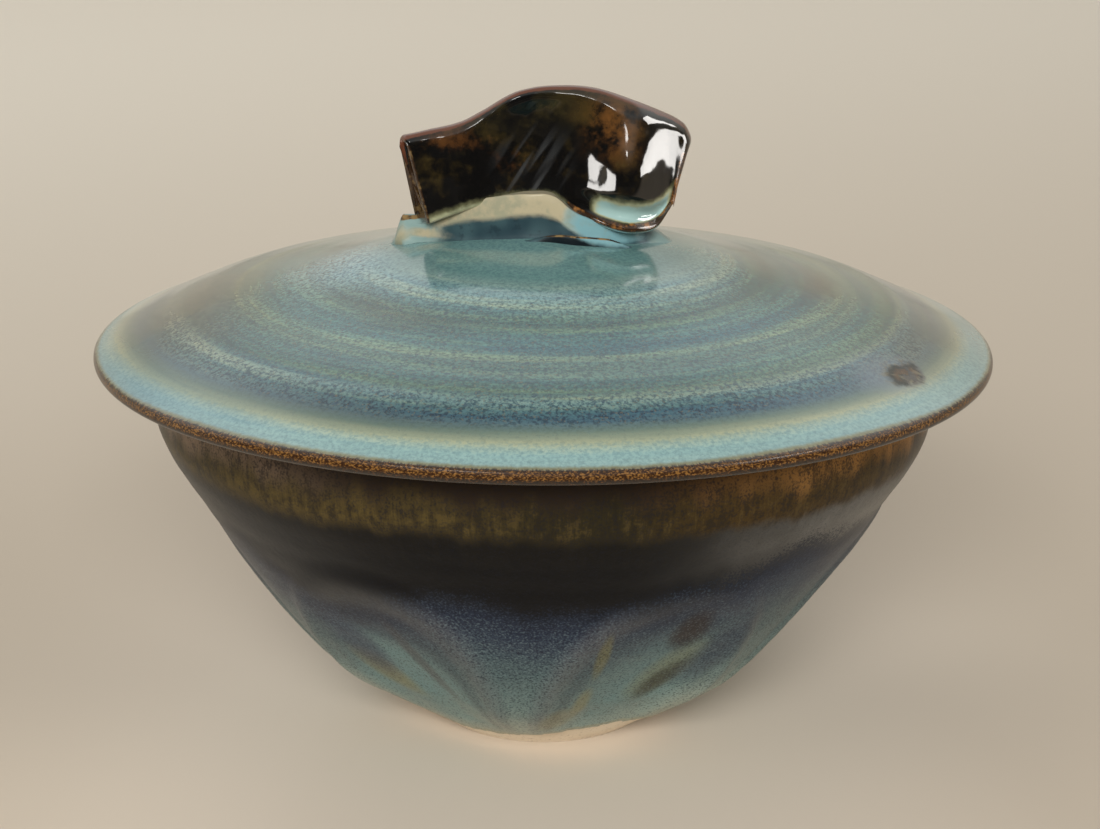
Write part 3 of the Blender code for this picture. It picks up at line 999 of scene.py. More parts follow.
    def inside(self, desk: GlazeDesk, flow: Flow) -> Wire:
        """The well: the same glazes, bluer and pooled darker on the floor.

        Args:
            desk: where the nodes go.
            flow: the level and the noises of the wall.

        Returns:
            The colour of the well.
        """
        level, runs = flow.level, flow.runs
        rings = desk.noise(desk.vector(level * 260.0, runs, 0.0), 1.0, 2.0)
        grains = desk.specks(1100.0, 1.5, 0.6)
        return desk.laid(self.well, (desk.smooth(rings, 0.40, 0.62), self.well_ring),
                         (desk.smooth(level + runs * 6.0 * MM, 0.058, 0.066), self.well_rust),
                         (desk.smooth(level, 0.016, 0.009), self.well_floor),
                         (desk.smooth(grains, 0.52, 0.68) * 0.5, self.well_speck))


@dataclass(frozen=True)
class DarkGlaze(Finish):
    """Very glossy black-brown glaze with olive and rust in it, thin and red-brown on the edges."""

    black: Colour = (0.0035, 0.0034, 0.0034)
    umber: Colour = (0.030, 0.021, 0.007)
    rust: Colour = (0.085, 0.034, 0.010)
    smoke: Colour = (0.030, 0.024, 0.009)
    orange: Colour = (0.130, 0.054, 0.014)        # in the lobe at the right
    olive: Colour = (0.080, 0.052, 0.014)
    # painted reflection: soft grey streaks where slanted finger marks would catch the light
    streak_reflection: Colour = (0.038, 0.040, 0.042)
    red_edge: Colour = (0.120, 0.042, 0.022)
    pool_edge: Colour = (0.085, 0.085, 0.045)
    pool_cream: Colour = (0.330, 0.340, 0.210)
    pool_blue: Colour = (0.290, 0.440, 0.430)
    foot_cream: Colour = (0.480, 0.425, 0.300)
    gold_left: Colour = (0.135, 0.085, 0.034)
    gold_right: Colour = (0.270, 0.115, 0.028)
    gold_dark: Colour = (0.030, 0.014, 0.006)

    def paint(self, desk: GlazeDesk) -> Painted:
        """Mottle, the thin edges, and the pale pool above the free lower edge.

        Args:
            desk: where the nodes go.

        Returns:
            What the shader is given.
        """
        rim, gold, pool = (desk.attribute(name) for name in ("rim", "gold", "pool"))
        x, z = desk.x, desk.z
        mottle = desk.specks(95.0, 4.0, 0.6)
        patches = desk.specks(62.0, 2.0, 0.5, 0.4)
        fine = desk.specks(520.0, 3.0, 0.6)
        rough = fine - 0.5
        body = desk.smooth(z, 0.1170, 0.1250) * desk.smooth(mottle + rough * 0.4, 0.36, 0.62)
        lobe = desk.band(x, 13.5 * MM, 8.0 * MM) * desk.band(z, 0.1220, 0.0085)
        olive = desk.band(x, 6.5 * MM, 5.0 * MM) * desk.band(z, 0.1225, 0.0080)
        # painted reflection streaks, slanting up to the right; lower is where they lie on the middle of the
        # front
        reflection_streaks = desk.noise(desk.vector((x - z * 0.65) * 430.0, z * 55.0, 0.0), 1.0, 1.0)
        lower = desk.smooth(z, 0.1235, 0.1150) * desk.band(x, -2.0 * MM, 10.0 * MM)
        edge = pool + rough * 0.45 + (mottle - 0.5) * 0.5
        ends = desk.mix(desk.smooth(x, 9.0 * MM, 4.0 * MM), self.pool_blue, self.foot_cream)
        bright = desk.mix(desk.smooth(x, -10.0 * MM, -20.0 * MM), self.gold_right, self.gold_left)
        worn = desk.mix(desk.smooth(fine, 0.46, 0.66), self.gold_dark, bright)
        colour = desk.laid(
            self.black,
            (desk.smooth(mottle + rough * 0.25, 0.50, 0.72), self.umber),
            (desk.smooth(patches + rough * 0.3, 0.57, 0.76) * 0.8, self.rust),
            (body * 0.5, self.smoke),
            (lobe * desk.smooth(mottle + rough * 0.8, 0.30, 0.68), self.orange),
            (olive * desk.smooth(patches, 0.36, 0.56) * 0.8, self.olive),
            (desk.smooth(reflection_streaks, 0.56, 0.70) * lower * 0.9, self.streak_reflection),
            (desk.smooth(rim + rough * 0.6, 0.35, 0.85) * 0.9, self.red_edge),
            (desk.smooth(edge, 0.10, 0.45), self.pool_edge),
            (desk.smooth(edge, 0.35, 0.70), self.pool_cream),
            (desk.smooth(edge, 0.60, 0.95), ends),
            (desk.smooth(gold + rough * 0.6, 0.35, 0.60), worn))
        grain = desk.specks(240.0, 2.0) * 0.5 + fine * 0.1
        return Painted(colour, 0.08 + gold * 0.15, grain, 0.5)


@dataclass(frozen=True)
class PooledGlaze(Finish):
    """Cream and pale blue glaze, pooled thick on the wad and thin over its ridge."""

    navy: Colour = (0.016, 0.038, 0.050)
    slate: Colour = (0.045, 0.090, 0.102)
    speck: Colour = (0.008, 0.018, 0.026)
    cream: Colour = (0.380, 0.340, 0.230)
    blue: Colour = (0.170, 0.330, 0.370)
    sage: Colour = (0.215, 0.240, 0.175)
    pale: Colour = (0.200, 0.300, 0.290)
    # dark glaze with painted shadow on the face beneath the torn edge
    deep: Colour = (0.004, 0.008, 0.011)
    brown: Colour = (0.026, 0.013, 0.006)
    tan: Colour = (0.200, 0.130, 0.050)

    def paint(self, desk: GlazeDesk) -> Painted:
        """Cream on the ridge, navy down the flank, a torn brown line, and dark glaze with painted shadow
        beneath it.

        Args:
            desk: where the nodes go.

        Returns:
            What the shader is given.
        """
        ridge, pale, brown, deep = (desk.attribute(name) for name in ("ridge", "pale", "brown", "deep"))
        fine = desk.specks(520.0, 3.0, 0.6)
        cloud = desk.specks(90.0, 2.0)
        rough = fine - 0.5
        thick = cloud - 0.5
        flank = desk.laid(self.navy, (desk.smooth(cloud, 0.38, 0.66), self.slate),
                          (desk.smooth(fine, 0.54, 0.68) * 0.5, self.speck))
        cream = desk.laid(self.cream, (desk.smooth(desk.x + thick * 0.02, 2.0 * MM, 6.0 * MM), self.blue),
                          (desk.smooth(cloud + rough * 0.5, 0.42, 0.62) * 0.6, self.sage))
        line = desk.mix(desk.smooth(fine, 0.44, 0.60), self.brown, self.tan)
        colour = desk.laid(flank, (desk.smooth(pale + rough * 0.35, 0.25, 0.95), self.pale),
                           (desk.smooth(deep + rough * 0.3, 0.25, 0.75), self.deep),
                           (desk.smooth(ridge + rough * 0.5 + thick * 0.4, 0.15, 0.85), cream),
                           (desk.smooth(brown + rough * 0.5, 0.40, 0.65), line))
        grain = desk.specks(260.0, 2.0) * 0.5 + fine * 0.12
        return Painted(colour, 0.36 - ridge * 0.20, grain, ridge * 0.4)


# ---- the thrown pieces ------------------------------------------------------------------------

@dataclass(frozen=True)
class Lean:
    """How far the mouth and the lid dried out of level: rise per metre along X and Y."""

    x: float = -0.0072
    y: float = -0.0172

    def at(self, x: float, y: float) -> float:
        """Rise at a place."""
        return self.x * x + self.y * y

    def wires(self, desk: ShapeDesk, place: Wire, share: "Wire | float") -> Wire:
        """The same rise as an offset in a tree.

        Args:
            desk: where the nodes go.
            place: of each point.
            share: how much of the lean applies.

        Returns:
            The offset.
        """
        x, y, _ = desk.parts(place)
        rise = (x * desk.size("Lean X", self.x) + y * desk.size("Lean Y", self.y)) * share
        return desk.vector(0.0, 0.0, rise)


def outline_mesh(name: str, points: Sequence[Pair], zero: int) -> bpy.types.Mesh:
    """A line of (r, z) points with the distance past one of them stored on each, negative before it.

    Args:
        name: the name of the mesh.
        points: the outline, from axis to axis.
        zero: the number of the point that the distance starts from.

    Returns:
        The mesh, with its points in the XZ plane.
    """
    run = [0.0]
    for a, b in zip(points, points[1:]):
        run.append(run[-1] + math.dist(a, b))
    mesh = bpy.data.meshes.new(name)
    mesh.from_pydata([(r, 0.0, z) for r, z in points], [(i, i + 1) for i in range(len(points) - 1)], [])
    past = [value - run[zero] for value in run]
    mesh.attributes.new("past", "FLOAT", "POINT").data.foreach_set("value", past)
    return mesh


@dataclass(frozen=True)
class ThrownBowl:
    """The thrown bowl, with its dents and its bare foot."""

    radius: float                 # outside, at the mouth
    lean: Lean
    height: float = 0.0758
    wall: float = 0.0045
    foot_radius: float = 0.0214
    foot_ring_width: float = 0.0050
    foot_recess: float = 0.0028
    floor_thickness: float = 0.0045
    rim_edge: float = 0.0012
    foot_edge: float = 0.0006
    outline_points: tuple[Pair, ...] = (
        (0.0, 0.0), (0.04, 0.078), (0.11, 0.228), (0.2, 0.395), (0.32, 0.54), (0.48, 0.697),
        (0.66, 0.858), (0.84, 0.998), (1.0, 1.0))
    dent_count: int = 6
    dent_first: float = math.radians(20.0)
    dent_half_width: float = math.radians(25.0)
    dent_slant: float = math.radians(5.0)
    dent_drift: float = math.radians(4.5)    # how far the dents stray from even spacing
    dent_drift_from: float = 1.22            # turns that straying round the pot
    dent_depth: float = 0.0038
    dent_top: float = 0.0460
    dent_deepest: float = 0.0150
    ridge: float = 0.0008         # how far the clay is pushed up round a dent
    ring_pitch: float = 5.2 * MM  # from one throwing ring to the next
    leans_from: float = 0.35      # share of its height below which the wall stands level
    glaze_line: float = 0.0050    # height where the glaze stops above the foot
    line_sway: float = 1.8 * MM   # how far that line wanders up and down
    glaze_bead: float = 0.00022   # thickness of the glaze above it
    steps: int = 360

    def wall_radius(self, z: float) -> float:
        """Outside radius at a height, before the dents."""
        share = curve_value(self.outline_points, z / self.height)
        return self.foot_radius + (self.radius - self.foot_radius) * share

    def inside_point(self, z: float) -> Pair:
        """(r, z) of the inner wall opposite the outside at a height.

        Args:
            z: the height on the outside.

        Returns:
            The point, square to the outside.
        """
        step = self.height * 0.01
        low, high = max(z - step, 0.0), min(z + step, self.height)
        flare = (self.wall_radius(high) - self.wall_radius(low)) / (high - low)
        slant = math.hypot(1.0, flare)
        return self.wall_radius(z) - self.wall / slant, z + self.wall * flare / slant

    def outline(self) -> tuple[list[Pair], int]:
        """The closed outline, from the middle of the floor over the rim to the foot's recess.

        Returns:
            Its points, and the number of the one at the top of the rim.
        """
        floor = self.foot_recess + self.floor_thickness
        edge = self.rim_edge
        heights = [self.height * (0.045 + 0.915 * i / 100) for i in range(101)]
        inner = [self.inside_point(z) for z in heights]
        inner = [p for p in inner if floor * 1.25 < p[1] < self.height - 1.5 * edge]
        start_r, start_z = inner[0]
        well = [(start_r * 0.97 * i / 30, floor + (start_z - floor) * smooth_step(0.45, 1.12, i / 30) * 0.9)
                for i in range(31)]
        mouth = self.radius - self.wall
        over = arc((mouth + edge, self.height - edge), edge, 180, 90, 8)
        over += arc((self.radius - edge, self.height - edge), edge, 90, 0, 8)
        low = [self.foot_edge + 0.35 * MM * i for i in range(1, 12)]
        outer_heights = low + [z for z in heights if low[-1] + 0.4 * MM < z < self.height - 1.5 * edge]
        outer = [(self.wall_radius(z), z) for z in reversed(outer_heights)]
        ring = self.foot_radius - self.foot_ring_width
        under = [(self.foot_radius + self.foot_edge, self.foot_edge),
                 (self.foot_radius + self.foot_edge * 0.3, self.foot_edge * 0.25), (self.foot_radius, 0.0)]
        under += [(self.foot_radius - self.foot_ring_width * i / 6, 0.0) for i in range(1, 7)]
        under += [(ring - self.foot_recess * 0.1, self.foot_recess * 0.12)]
        under += [(ring - self.foot_recess * 0.4, self.foot_recess * 0.85)]
        under += [(ring * share, self.foot_recess) for share in (0.8, 0.6, 0.45, 0.3, 0.15, 0.07, 0.0)]
        points = well + inner + over + outer + under
        return points, len(well) + len(inner) + len(over) // 2

    def petal_wire(self, desk: ShapeDesk) -> Wire:
        """How far a point is from the middle of its dent, as a share of the way to the ridge.

        Args:
            desk: where the nodes go.

        Returns:
            0 in the middle of a dent, 1 at the ridge.
        """
        _, angle, z = desk.polar(desk.place())
        height = z / desk.size("Dent Top", self.dent_top)
        pitch = math.tau / self.dent_count
        drift = (desk.maths("COSINE", angle + self.dent_drift_from)
                 * desk.size("Uneven Spacing", self.dent_drift))
        turned = angle - drift - desk.size("Dent First", self.dent_first) - height * self.dent_slant
        turn = desk.maths("MODULO", turned + 4.0 * math.tau, pitch)    # whole turns keep it above 0
        nearest = desk.maths("MINIMUM", turn, pitch - turn) / desk.size("Dent Width", self.dent_half_width)
        return (nearest * nearest + desk.maths("MAXIMUM", height, 0.0) ** 2.2) ** 0.5

    def build(self, material: bpy.types.Material) -> bpy.types.Object:
        """Throw the bowl, press the dents, and set the glaze's edge on it.

        Args:
            material: its glaze.

        Returns:
            The piece.
        """
        desk = ShapeDesk("throw_bowl")
        skin = desk.turned(desk.geometry, desk.size("Steps", self.steps))
        past = desk.attribute("past")
        skin = desk.stored(skin, "inner", desk.smooth(past, -self.wall * 0.5, -self.wall * 0.7))
        skin = desk.stored(skin, "seat", desk.smooth(desk.maths("ABSOLUTE", past), 2.6 * MM, 2.2 * MM))
        skin = desk.stored(skin, "petal", self.petal_wire(desk))
        skin = desk.moved(skin, self.dent_wires(desk))
        skin = desk.moved(skin, desk.along_normal(self.surface_wires(desk)))
        _, _, z = desk.polar(desk.place())
        rise_share = desk.smooth(z / self.height, self.leans_from, 1.0)
        skin = desk.moved(skin, self.lean.wires(desk, desk.place(), rise_share))
        desk.finished(skin, material)
        return desk.make(Piece.BOWL, outline_mesh("bowl_outline", *self.outline()))

    def dent_wires(self, desk: ShapeDesk) -> Wire:
        """How far the dents push the outside in, and the ridges between them out.

        Args:
            desk: where the nodes go.

        Returns:
            The offset, level and towards the axis.
        """
        radius, _, z = desk.polar(desk.place())
        x, y, _ = desk.parts(desk.place())
        out = desk.smooth(radius, self.foot_radius, self.foot_radius + 0.5 * MM)
        out = out * desk.smooth(desk.attribute("past"), 0.0, 5.0 * MM)
        petal = desk.attribute("petal")
        hollow = desk.smooth(petal, 1.0, 0.40) * desk.smooth(z, 1.0 * MM, self.dent_deepest)
        crest = desk.band(petal, 1.04, 0.13) * desk.smooth(z, 5.0 * MM, 16.0 * MM)
        pressed = hollow * desk.size("Dent Depth", self.dent_depth) - crest * desk.size("Ridge", self.ridge)
        return desk.vector(-x / radius * pressed * out, -y / radius * pressed * out, 0.0)

    def surface_wires(self, desk: ShapeDesk) -> Wire:
        """Throwing rings, the unevenness of a hand-made wall, and the thick edge of the glaze.

        Args:
            desk: where the nodes go.

        Returns:
            The distance outwards.
        """
        place = desk.place()
        _, angle, z = desk.polar(place)
        past = desk.attribute("past")
        clear = desk.smooth(desk.maths("ABSOLUTE", past), 2.0 * MM, 9.0 * MM)
        off_foot = desk.smooth(z, 2.0 * MM, 9.0 * MM)
        spiral = desk.maths("SINE", z * (math.tau / self.ring_pitch) + angle)
        uneven = desk.noise(place, 26.0, 2.0) - 0.5
        rings = spiral * desk.size("Ring Height", 0.02 * MM) * clear * off_foot
        swell = uneven * desk.size("Unevenness", 0.9 * MM) * clear * off_foot
        line = z - (desk.drops(angle, z) + desk.sway(angle)) * self.line_sway
        glazed = desk.smooth(line, self.glaze_line - 0.15 * MM, self.glaze_line + 0.35 * MM)
        outside = desk.smooth(past, 0.0, 4.0 * MM)
        return rings + swell + glazed * outside * self.glaze_bead


@dataclass(frozen=True)
class ThrownLid:
    """The thrown lid: a dome with rings, a round lip and a flange that drops into the mouth."""

    radius: float                 # of the lip
    bowl: ThrownBowl
    lean: Lean
    rise: float = 0.0240
    wall: float = 0.0045
    lip_radius: float = 0.0014
    seat_gap: float = 0.0003
    flange_clearance: float = 0.0012
    flange_depth: float = 0.0080
    flange_wall: float = 0.0036
    outline_points: tuple[Pair, ...] = (
        (0.0, 1.0), (0.07, 0.986), (0.137, 0.953), (0.205, 0.911), (0.275, 0.865), (0.33, 0.824),
        (0.365, 0.794), (0.40, 0.758), (0.435, 0.719), (0.47, 0.680), (0.515, 0.633), (0.57, 0.582),
        (0.64, 0.526), (0.72, 0.460), (0.80, 0.383), (0.89, 0.246), (1.0, 0.058))
    ring_pitch: float = 6.4 * MM  # from one throwing ring to the next
    scar: Pair = (0.0672, -0.0407)           # where the glaze is torn
    steps: int = 384

    @property
    def reach(self) -> float:
        """From the axis to the middle of the lip's round."""
        return self.radius - self.lip_radius

    @property
    def seat(self) -> float:
        """Height of the face that rests on the mouth."""
        return self.bowl.height + self.seat_gap

    @property
    def lip_height(self) -> float:
        """Height of the middle of the lip."""
        return self.seat + self.lip_radius

    @property
    def crown(self) -> float:
        """Height of the top of the dome."""
        return self.lip_height + self.rise

    def top(self, r: float) -> float:
        """Height of the upper face at a radius, before it leans."""
        return self.lip_height + self.rise * curve_value(self.outline_points, r / self.reach)

    def surface(self, x: float, y: float) -> float:
        """Height of the upper face at a place."""
        return self.top(math.hypot(x, y)) + self.lean.at(x, y)

    def outline(self) -> tuple[list[Pair], int]:
        """The closed outline, from the crown round the lip and the flange to the underside's middle.

        Returns:
            Its points, and the number of one at the lip.
        """
        radii = [self.reach * i / 120 for i in range(120)]
        top = [(r, self.top(r)) for r in radii]
        lip = arc((self.reach, self.lip_height), self.lip_radius, 78, -90, 22)
        flange_radius = self.bowl.radius - self.bowl.wall - self.flange_clearance
        shelf = [(self.reach + (flange_radius - self.reach) * i / 14, self.seat) for i in range(1, 14)]
        edge = self.flange_wall / 2
        low = self.seat - self.flange_depth
        drop = [(flange_radius, self.seat - (self.flange_depth - edge) * i / 8) for i in range(8)]
        drop += arc((flange_radius - edge, low + edge), edge, 0, -180, 12)
        inside = flange_radius - self.flange_wall
        join = self.top(inside) - self.wall
        rise = [(inside, low + edge + (join - self.wall * 0.5 - low - edge) * i / 10) for i in range(1, 10)]
        rise += [(inside - 0.3 * MM, join - self.wall * 0.22)]
        under = [(r, self.top(r) - self.wall) for r in (inside * (0.975 - 0.975 * i / 50) for i in range(51))]
        return top + lip + shelf + drop + rise + under, len(top) + 10

    def relief_wires(self, desk: ShapeDesk) -> Wire:
        """The rings that the maker's fingers left, fading out at the crown and at the lip.

        Args:
            desk: where the nodes go.

        Returns:
            The distance outwards.
        """
        place = desk.place()
        radius, angle, _ = desk.polar(place)
        past = desk.attribute("past")
        upper = desk.smooth(past, -3.0 * MM, -9.0 * MM)
        outward = desk.smooth(radius, 0.036, 0.058) + 0.06
        drift = desk.noise(desk.around(angle, 0.35, radius * 170.0), 1.0, 2.0) - 0.5
        spiral = desk.maths("SINE", radius * (math.tau / self.ring_pitch) + angle)
        rings = drift * desk.size("Ring Height", 0.26 * MM) + spiral * desk.size("Spiral Height", 0.018 * MM)
        swell = (desk.noise(place, 17.0, 1.0) - 0.5) * desk.size("Unevenness", 0.5 * MM)
        x, y, _ = desk.parts(place)
        away = ((x - self.scar[0]) ** 2.0 + (y - self.scar[1]) ** 2.0) ** 0.5
        rough = (desk.noise(place, 480.0, 2.0) - 0.5) * 0.35 * MM
        pit = desk.smooth(away + rough * 6.0, 4.2 * MM, 1.4 * MM) * 0.18 * MM
        torn = rough * 0.2 * desk.smooth(away, 4.5 * MM, 3.0 * MM)
        return upper * (rings * outward + swell * outward - (pit - torn))

    def build(self, material: bpy.types.Material) -> bpy.types.Object:
        """Throw the lid.

        Args:
            material: its glaze.

        Returns:
            The piece.
        """
        desk = ShapeDesk("throw_lid")
        skin = desk.turned(desk.geometry, desk.size("Steps", self.steps))
        skin = desk.moved(skin, desk.along_normal(self.relief_wires(desk)))
        skin = desk.moved(skin, self.lean.wires(desk, desk.place(), 1.0))
        desk.finished(skin, material)
        return desk.make(Piece.LID, outline_mesh("lid_outline", *self.outline()))


# ---- the pinched pieces -------------------------------------------------------------------------

@dataclass
class ClaySkin:
    """A closed skin of rings, with marks on its points."""

    piece: Piece
    mark_names: Sequence[str]

    def close(self, rings: Sequence[Sequence[Triple]], marks: Sequence[Sequence[Sequence[float]]],
              material: bpy.types.Material) -> bpy.types.Object:
        """Skin a row of closed rings, with a point in the middle of each end.

        Args:
            rings: the rings in order; all hold as many points.
            marks: the numbers to store on each point of each ring.
            material: the glaze.

        Returns:
            The piece.
        """
        count = len(rings[0])
        points = [point for ring in rings for point in ring]
        values = [mark for ring in marks for mark in ring]
        faces = [(k * count + i, k * count + (i + 1) % count, (k + 1) * count + (i + 1) % count,
                  (k + 1) * count + i) for k in range(len(rings) - 1) for i in range(count)]
        for ring, first in ((0, 0), (len(rings) - 1, (len(rings) - 1) * count)):
            middle = tuple(np.mean(np.array(rings[ring]), axis=0))
            points.append(middle)
            values.append(tuple(np.mean(np.array(marks[ring]), axis=0)))
            faces += [(first + i, first + (i + 1) % count, len(points) - 1) for i in range(count)]
        mesh = bpy.data.meshes.new(self.piece.value)
        mesh.from_pydata(points, [], faces)
        for number, key in enumerate(self.mark_names):
            layer = mesh.attributes.new(key, "FLOAT", "POINT")
            layer.data.foreach_set("value", [float(value[number]) for value in values])
        mesh.materials.append(material)
        return add_piece(self.piece, mesh)


@dataclass(frozen=True)
class Press:
    """A rounded push on one face of the slab; a positive depth is towards the back."""

    depth: float
    station: float
    half_length: float
    height: float
    half_height: float

    def at(self, u: float, height: float) -> float:
        """How far the face is pushed back at a place, or towards the front where negative."""
        along = hump(u, self.station, self.half_length)
        return self.depth * along * hump(height, self.height, self.half_height)


@dataclass(frozen=True)
class PinchedHandle:
    """The bent slab of clay that stands on the lid."""

    lid: ThrownLid
    length: float = 0.0569        # along its top
    base_length: float = 0.0490   # along its lower edge
    centre_x: float = 0.0007
    rise: float = 0.0280
    end_bias: float = 0.35
    finger_hollow: float = 0.0022
    lobe_bulge: float = 0.0026
    curl: float = 0.0032          # how far the right end bends back
    groove: float = 0.00014       # depth of the marks between the fingers
    groove_stations: Triple = (-0.19, -0.02, 0.13)
    front_presses: tuple[Press, ...] = (
        Press(-0.0008, -0.72, 0.22, 0.55, 0.35), Press(-0.0010, 0.55, 0.18, 0.42, 0.22),
        Press(-0.0007, 0.43, 0.12, 0.21, 0.12))
    thumb: Press = Press(-0.0016, 0.05, 0.30, 0.55, 0.30)    # pushes the back in
    top_edge: tuple[Pair, ...] = (
        (-1.0, 0.655), (-0.59, 0.743), (-0.447, 0.814), (-0.278, 0.921), (-0.17, 0.965), (0.1, 1.0),
        (0.306, 0.986), (0.6, 0.905), (0.79, 0.815), (0.947, 0.708), (1.0, 0.622))
    lower_edge: tuple[Pair, ...] = (
        (-1.0, 0.0008), (-0.7, 0.0032), (-0.36, 0.0052), (-0.1, 0.0058), (0.06, 0.0054),
        (0.23, 0.0027), (0.42, 0.0010), (0.7, 0.0002), (0.88, 0.0008), (1.0, 0.0048))
    lower_sway: tuple[Pair, ...] = (
        (-1.0, -0.0010), (-0.5, -0.0005), (0.0, 0.0010), (0.3, -0.0005), (0.65, -0.0052), (1.0, -0.0046))
    top_sway: tuple[Pair, ...] = (
        (-1.0, -0.0005), (-0.4, 0.0008), (0.1, 0.0012), (0.6, -0.0006), (1.0, 0.0006))
    lower_thickness: tuple[Pair, ...] = (
        (-1.0, 0.0070), (-0.4, 0.0080), (0.3, 0.0088), (0.7, 0.0080), (1.0, 0.0042))
    top_thickness: tuple[Pair, ...] = ((-1.0, 0.0036), (0.0, 0.0046), (0.65, 0.0054), (1.0, 0.0040))
    stations: int = 180
    side_steps: int = 46
    over_steps: int = 14
    foot_steps: int = 16
    end_round: float = 0.0007     # rounding of the edges of the two ends

    def foot(self, u: float) -> float:
        """Height of the lower edge at a station, from -1 at the left end to 1 at the right."""
        return self.lid.crown + curve_value(self.lower_edge, u)

    def point(self, u: float, height: float, side: float) -> Triple:
        """A point of the slab.

        Args:
            u: the station, from -1 at the left end to 1 at the right.
            height: share of the way up.
            side: -1 at the front, 1 at the back.

        Returns:
            The point.
        """
        lower = self.foot(u)
        top = self.lid.crown + self.rise * curve_value(self.top_edge, u)
        thick = (curve_value(self.lower_thickness, u) * (1.0 - height)
                 + curve_value(self.top_thickness, u) * height)
        sway = curve_value(self.lower_sway, u) * (1.0 - height) + curve_value(self.top_sway, u) * height
        belly = math.sin(math.pi * min(max(height, 0.0), 1.0))
        hollow = self.finger_hollow * belly * hump(u, -0.12, 0.3)
        bulge = self.lobe_bulge * belly * hump(u, 0.62, 0.25)
        y = sway + side * thick / 2 + hollow - bulge + self.curl * smooth_step(0.58, 1.04, u)
        x = self.centre_x + u * (self.base_length * (1.0 - height) + self.length * height) / 2
        x -= self.end_bias * side * thick / 2 * smooth_step(0.7, 1.0, -u)
        if side < 0.0:
            y += self.pinches(u, height) * -side
        else:
            y += self.back_pinches(u, height) * side
        return x, y, lower + (top - lower) * height

    def pinches(self, u: float, height: float) -> float:
        """How far the front is pushed back by the maker's fingers at a place.

        Args:
            u: the station, from -1 at the left end to 1 at the right.
            height: share of the way up.

        Returns:
            The distance, negative where the clay swells out.
        """
        middle = smooth_step(0.05, 0.25, height) * smooth_step(0.98, 0.75, height)
        slanted = u - 0.22 * (height - 0.45)
        grooves = sum(hump(slanted, at, 0.035) for at in self.groove_stations)
        crease = hump(u, -0.40 + 0.05 * height, 0.05)
        lobe_side = smooth_step(0.16, 0.52, u)
        gutter = 0.0017 * lobe_side * hump(height, 0.165, 0.075) * (1.0 - smooth_step(0.85, 1.0, u))
        flare = -0.0012 * lobe_side * hump(height, 0.060, 0.035)
        swells = sum(press.at(u, height) for press in self.front_presses)
        return middle * (self.groove * grooves + 0.0002 * crease) + gutter + flare + swells

    def back_pinches(self, u: float, height: float) -> float:
        """How far the thumb moves the back at a place; it goes in, towards the front, where negative."""
        wipe = -0.0004 * hump(u - 0.2 * (height - 0.5), -0.55, 0.06) * hump(height, 0.5, 0.3)
        return self.thumb.at(u, height) + wipe

    def section(self, u: float, inset: float) -> tuple[list[Triple], list[Triple]]:
        """A closed ring of the slab and its marks.

        Args:
            u: the station.
            inset: how far the ring is drawn in from the full section, for a rounded end.

        Returns:
            The points up the front, over the top, down the back and along the foot, and a
            (rim, gold, pool) mark for each.
        """
        rise = self.lid.crown + self.rise * curve_value(self.top_edge, u) - self.foot(u)
        top_round = curve_value(self.top_thickness, u) / 2 / rise
        foot_round = curve_value(self.lower_thickness, u) / 2 * 0.45 / rise
        span = 1.0 - top_round - foot_round
        sides = [foot_round + span * i / self.side_steps for i in range(self.side_steps + 1)]
        places = [(h, -1.0) for h in sides]
        turn = [math.pi * i / self.over_steps for i in range(1, self.over_steps)]
        places += [(1.0 - top_round + top_round * math.sin(a), -math.cos(a)) for a in turn]
        places += [(h, 1.0) for h in reversed(sides)]
        turn = [math.pi * i / self.foot_steps for i in range(1, self.foot_steps)]
        places += [(foot_round - foot_round * math.sin(a) ** 0.7,
                    math.copysign(abs(math.cos(a)) ** 0.6, math.cos(a))) for a in turn]
        points = [self.point(u, h, side) for h, side in places]
        marks = [self.marks(u, h, side, rise) for h, side in places]
        return self.drawn_in(points, inset), marks

    @staticmethod
    def drawn_in(points: list[Triple], inset: float) -> list[Triple]:
        """A ring drawn in towards its own middle line by a distance.

        Args:
            points: the full ring.
            inset: the distance.

        Returns:
            The smaller ring.
        """
        if inset <= 0.0:
            return points
        ring = np.array(points)
        ahead, behind = np.roll(ring, -1, axis=0), np.roll(ring, 1, axis=0)
        run = (ahead - behind)[:, [1, 2]]
        inward = np.stack([np.zeros(len(ring)), run[:, 1], -run[:, 0]], axis=1)
        inward /= np.linalg.norm(inward, axis=1)[:, None] + 1e-12
        middle = ring.mean(axis=0)
        if np.sum(inward * (middle - ring)) < 0.0:
            inward = -inward
        return [tuple(point) for point in ring + inward * inset]

    def marks(self, u: float, height: float, side: float, rise: float) -> Triple:
        """Where the glaze is thin on the rim, worn to gold on an edge, or pooled.

        Args:
            u: the station.
            height: share of the way up.
            side: -1 at the front, 1 at the back.
            rise: from the lower edge to the top here.

        Returns:
            The (rim, gold, pool) marks.
        """
        rim = smooth_step(1.0 * MM, 0.25 * MM, (1.0 - height) * rise)
        half = (self.base_length * (1.0 - height) + self.length * height) / 2
        from_foot = height * rise
        left = smooth_step(1.0 * MM, 0.2 * MM, (1.0 + u) * half) * smooth_step(0.97, 0.85, height)
        right = smooth_step(1.5 * MM, 0.4 * MM, (1.0 - u) * half) * smooth_step(0.9, 0.6, height)
        lobe = smooth_step(0.13, 0.20, u)
        front = smooth_step(0.3, -0.3, side)
        edge = plateau(from_foot, (0.7 * MM, 1.2 * MM), (2.0 * MM, 2.6 * MM))
        gold = max(left, right, edge * lobe * front)
        above = plateau(from_foot, (2.2 * MM, 2.8 * MM), (4.6 * MM, 8.2 * MM))
        pool = above * plateau(u, (0.30, 0.42), (0.90, 1.0)) * front
        beneath = smooth_step(1.1 * MM, 0.6 * MM, from_foot) * lobe
        foot_pool = smooth_step(3.6 * MM, -1.0 * MM, from_foot) * (1.0 - lobe)
        return rim, gold, max(pool, beneath, foot_pool)

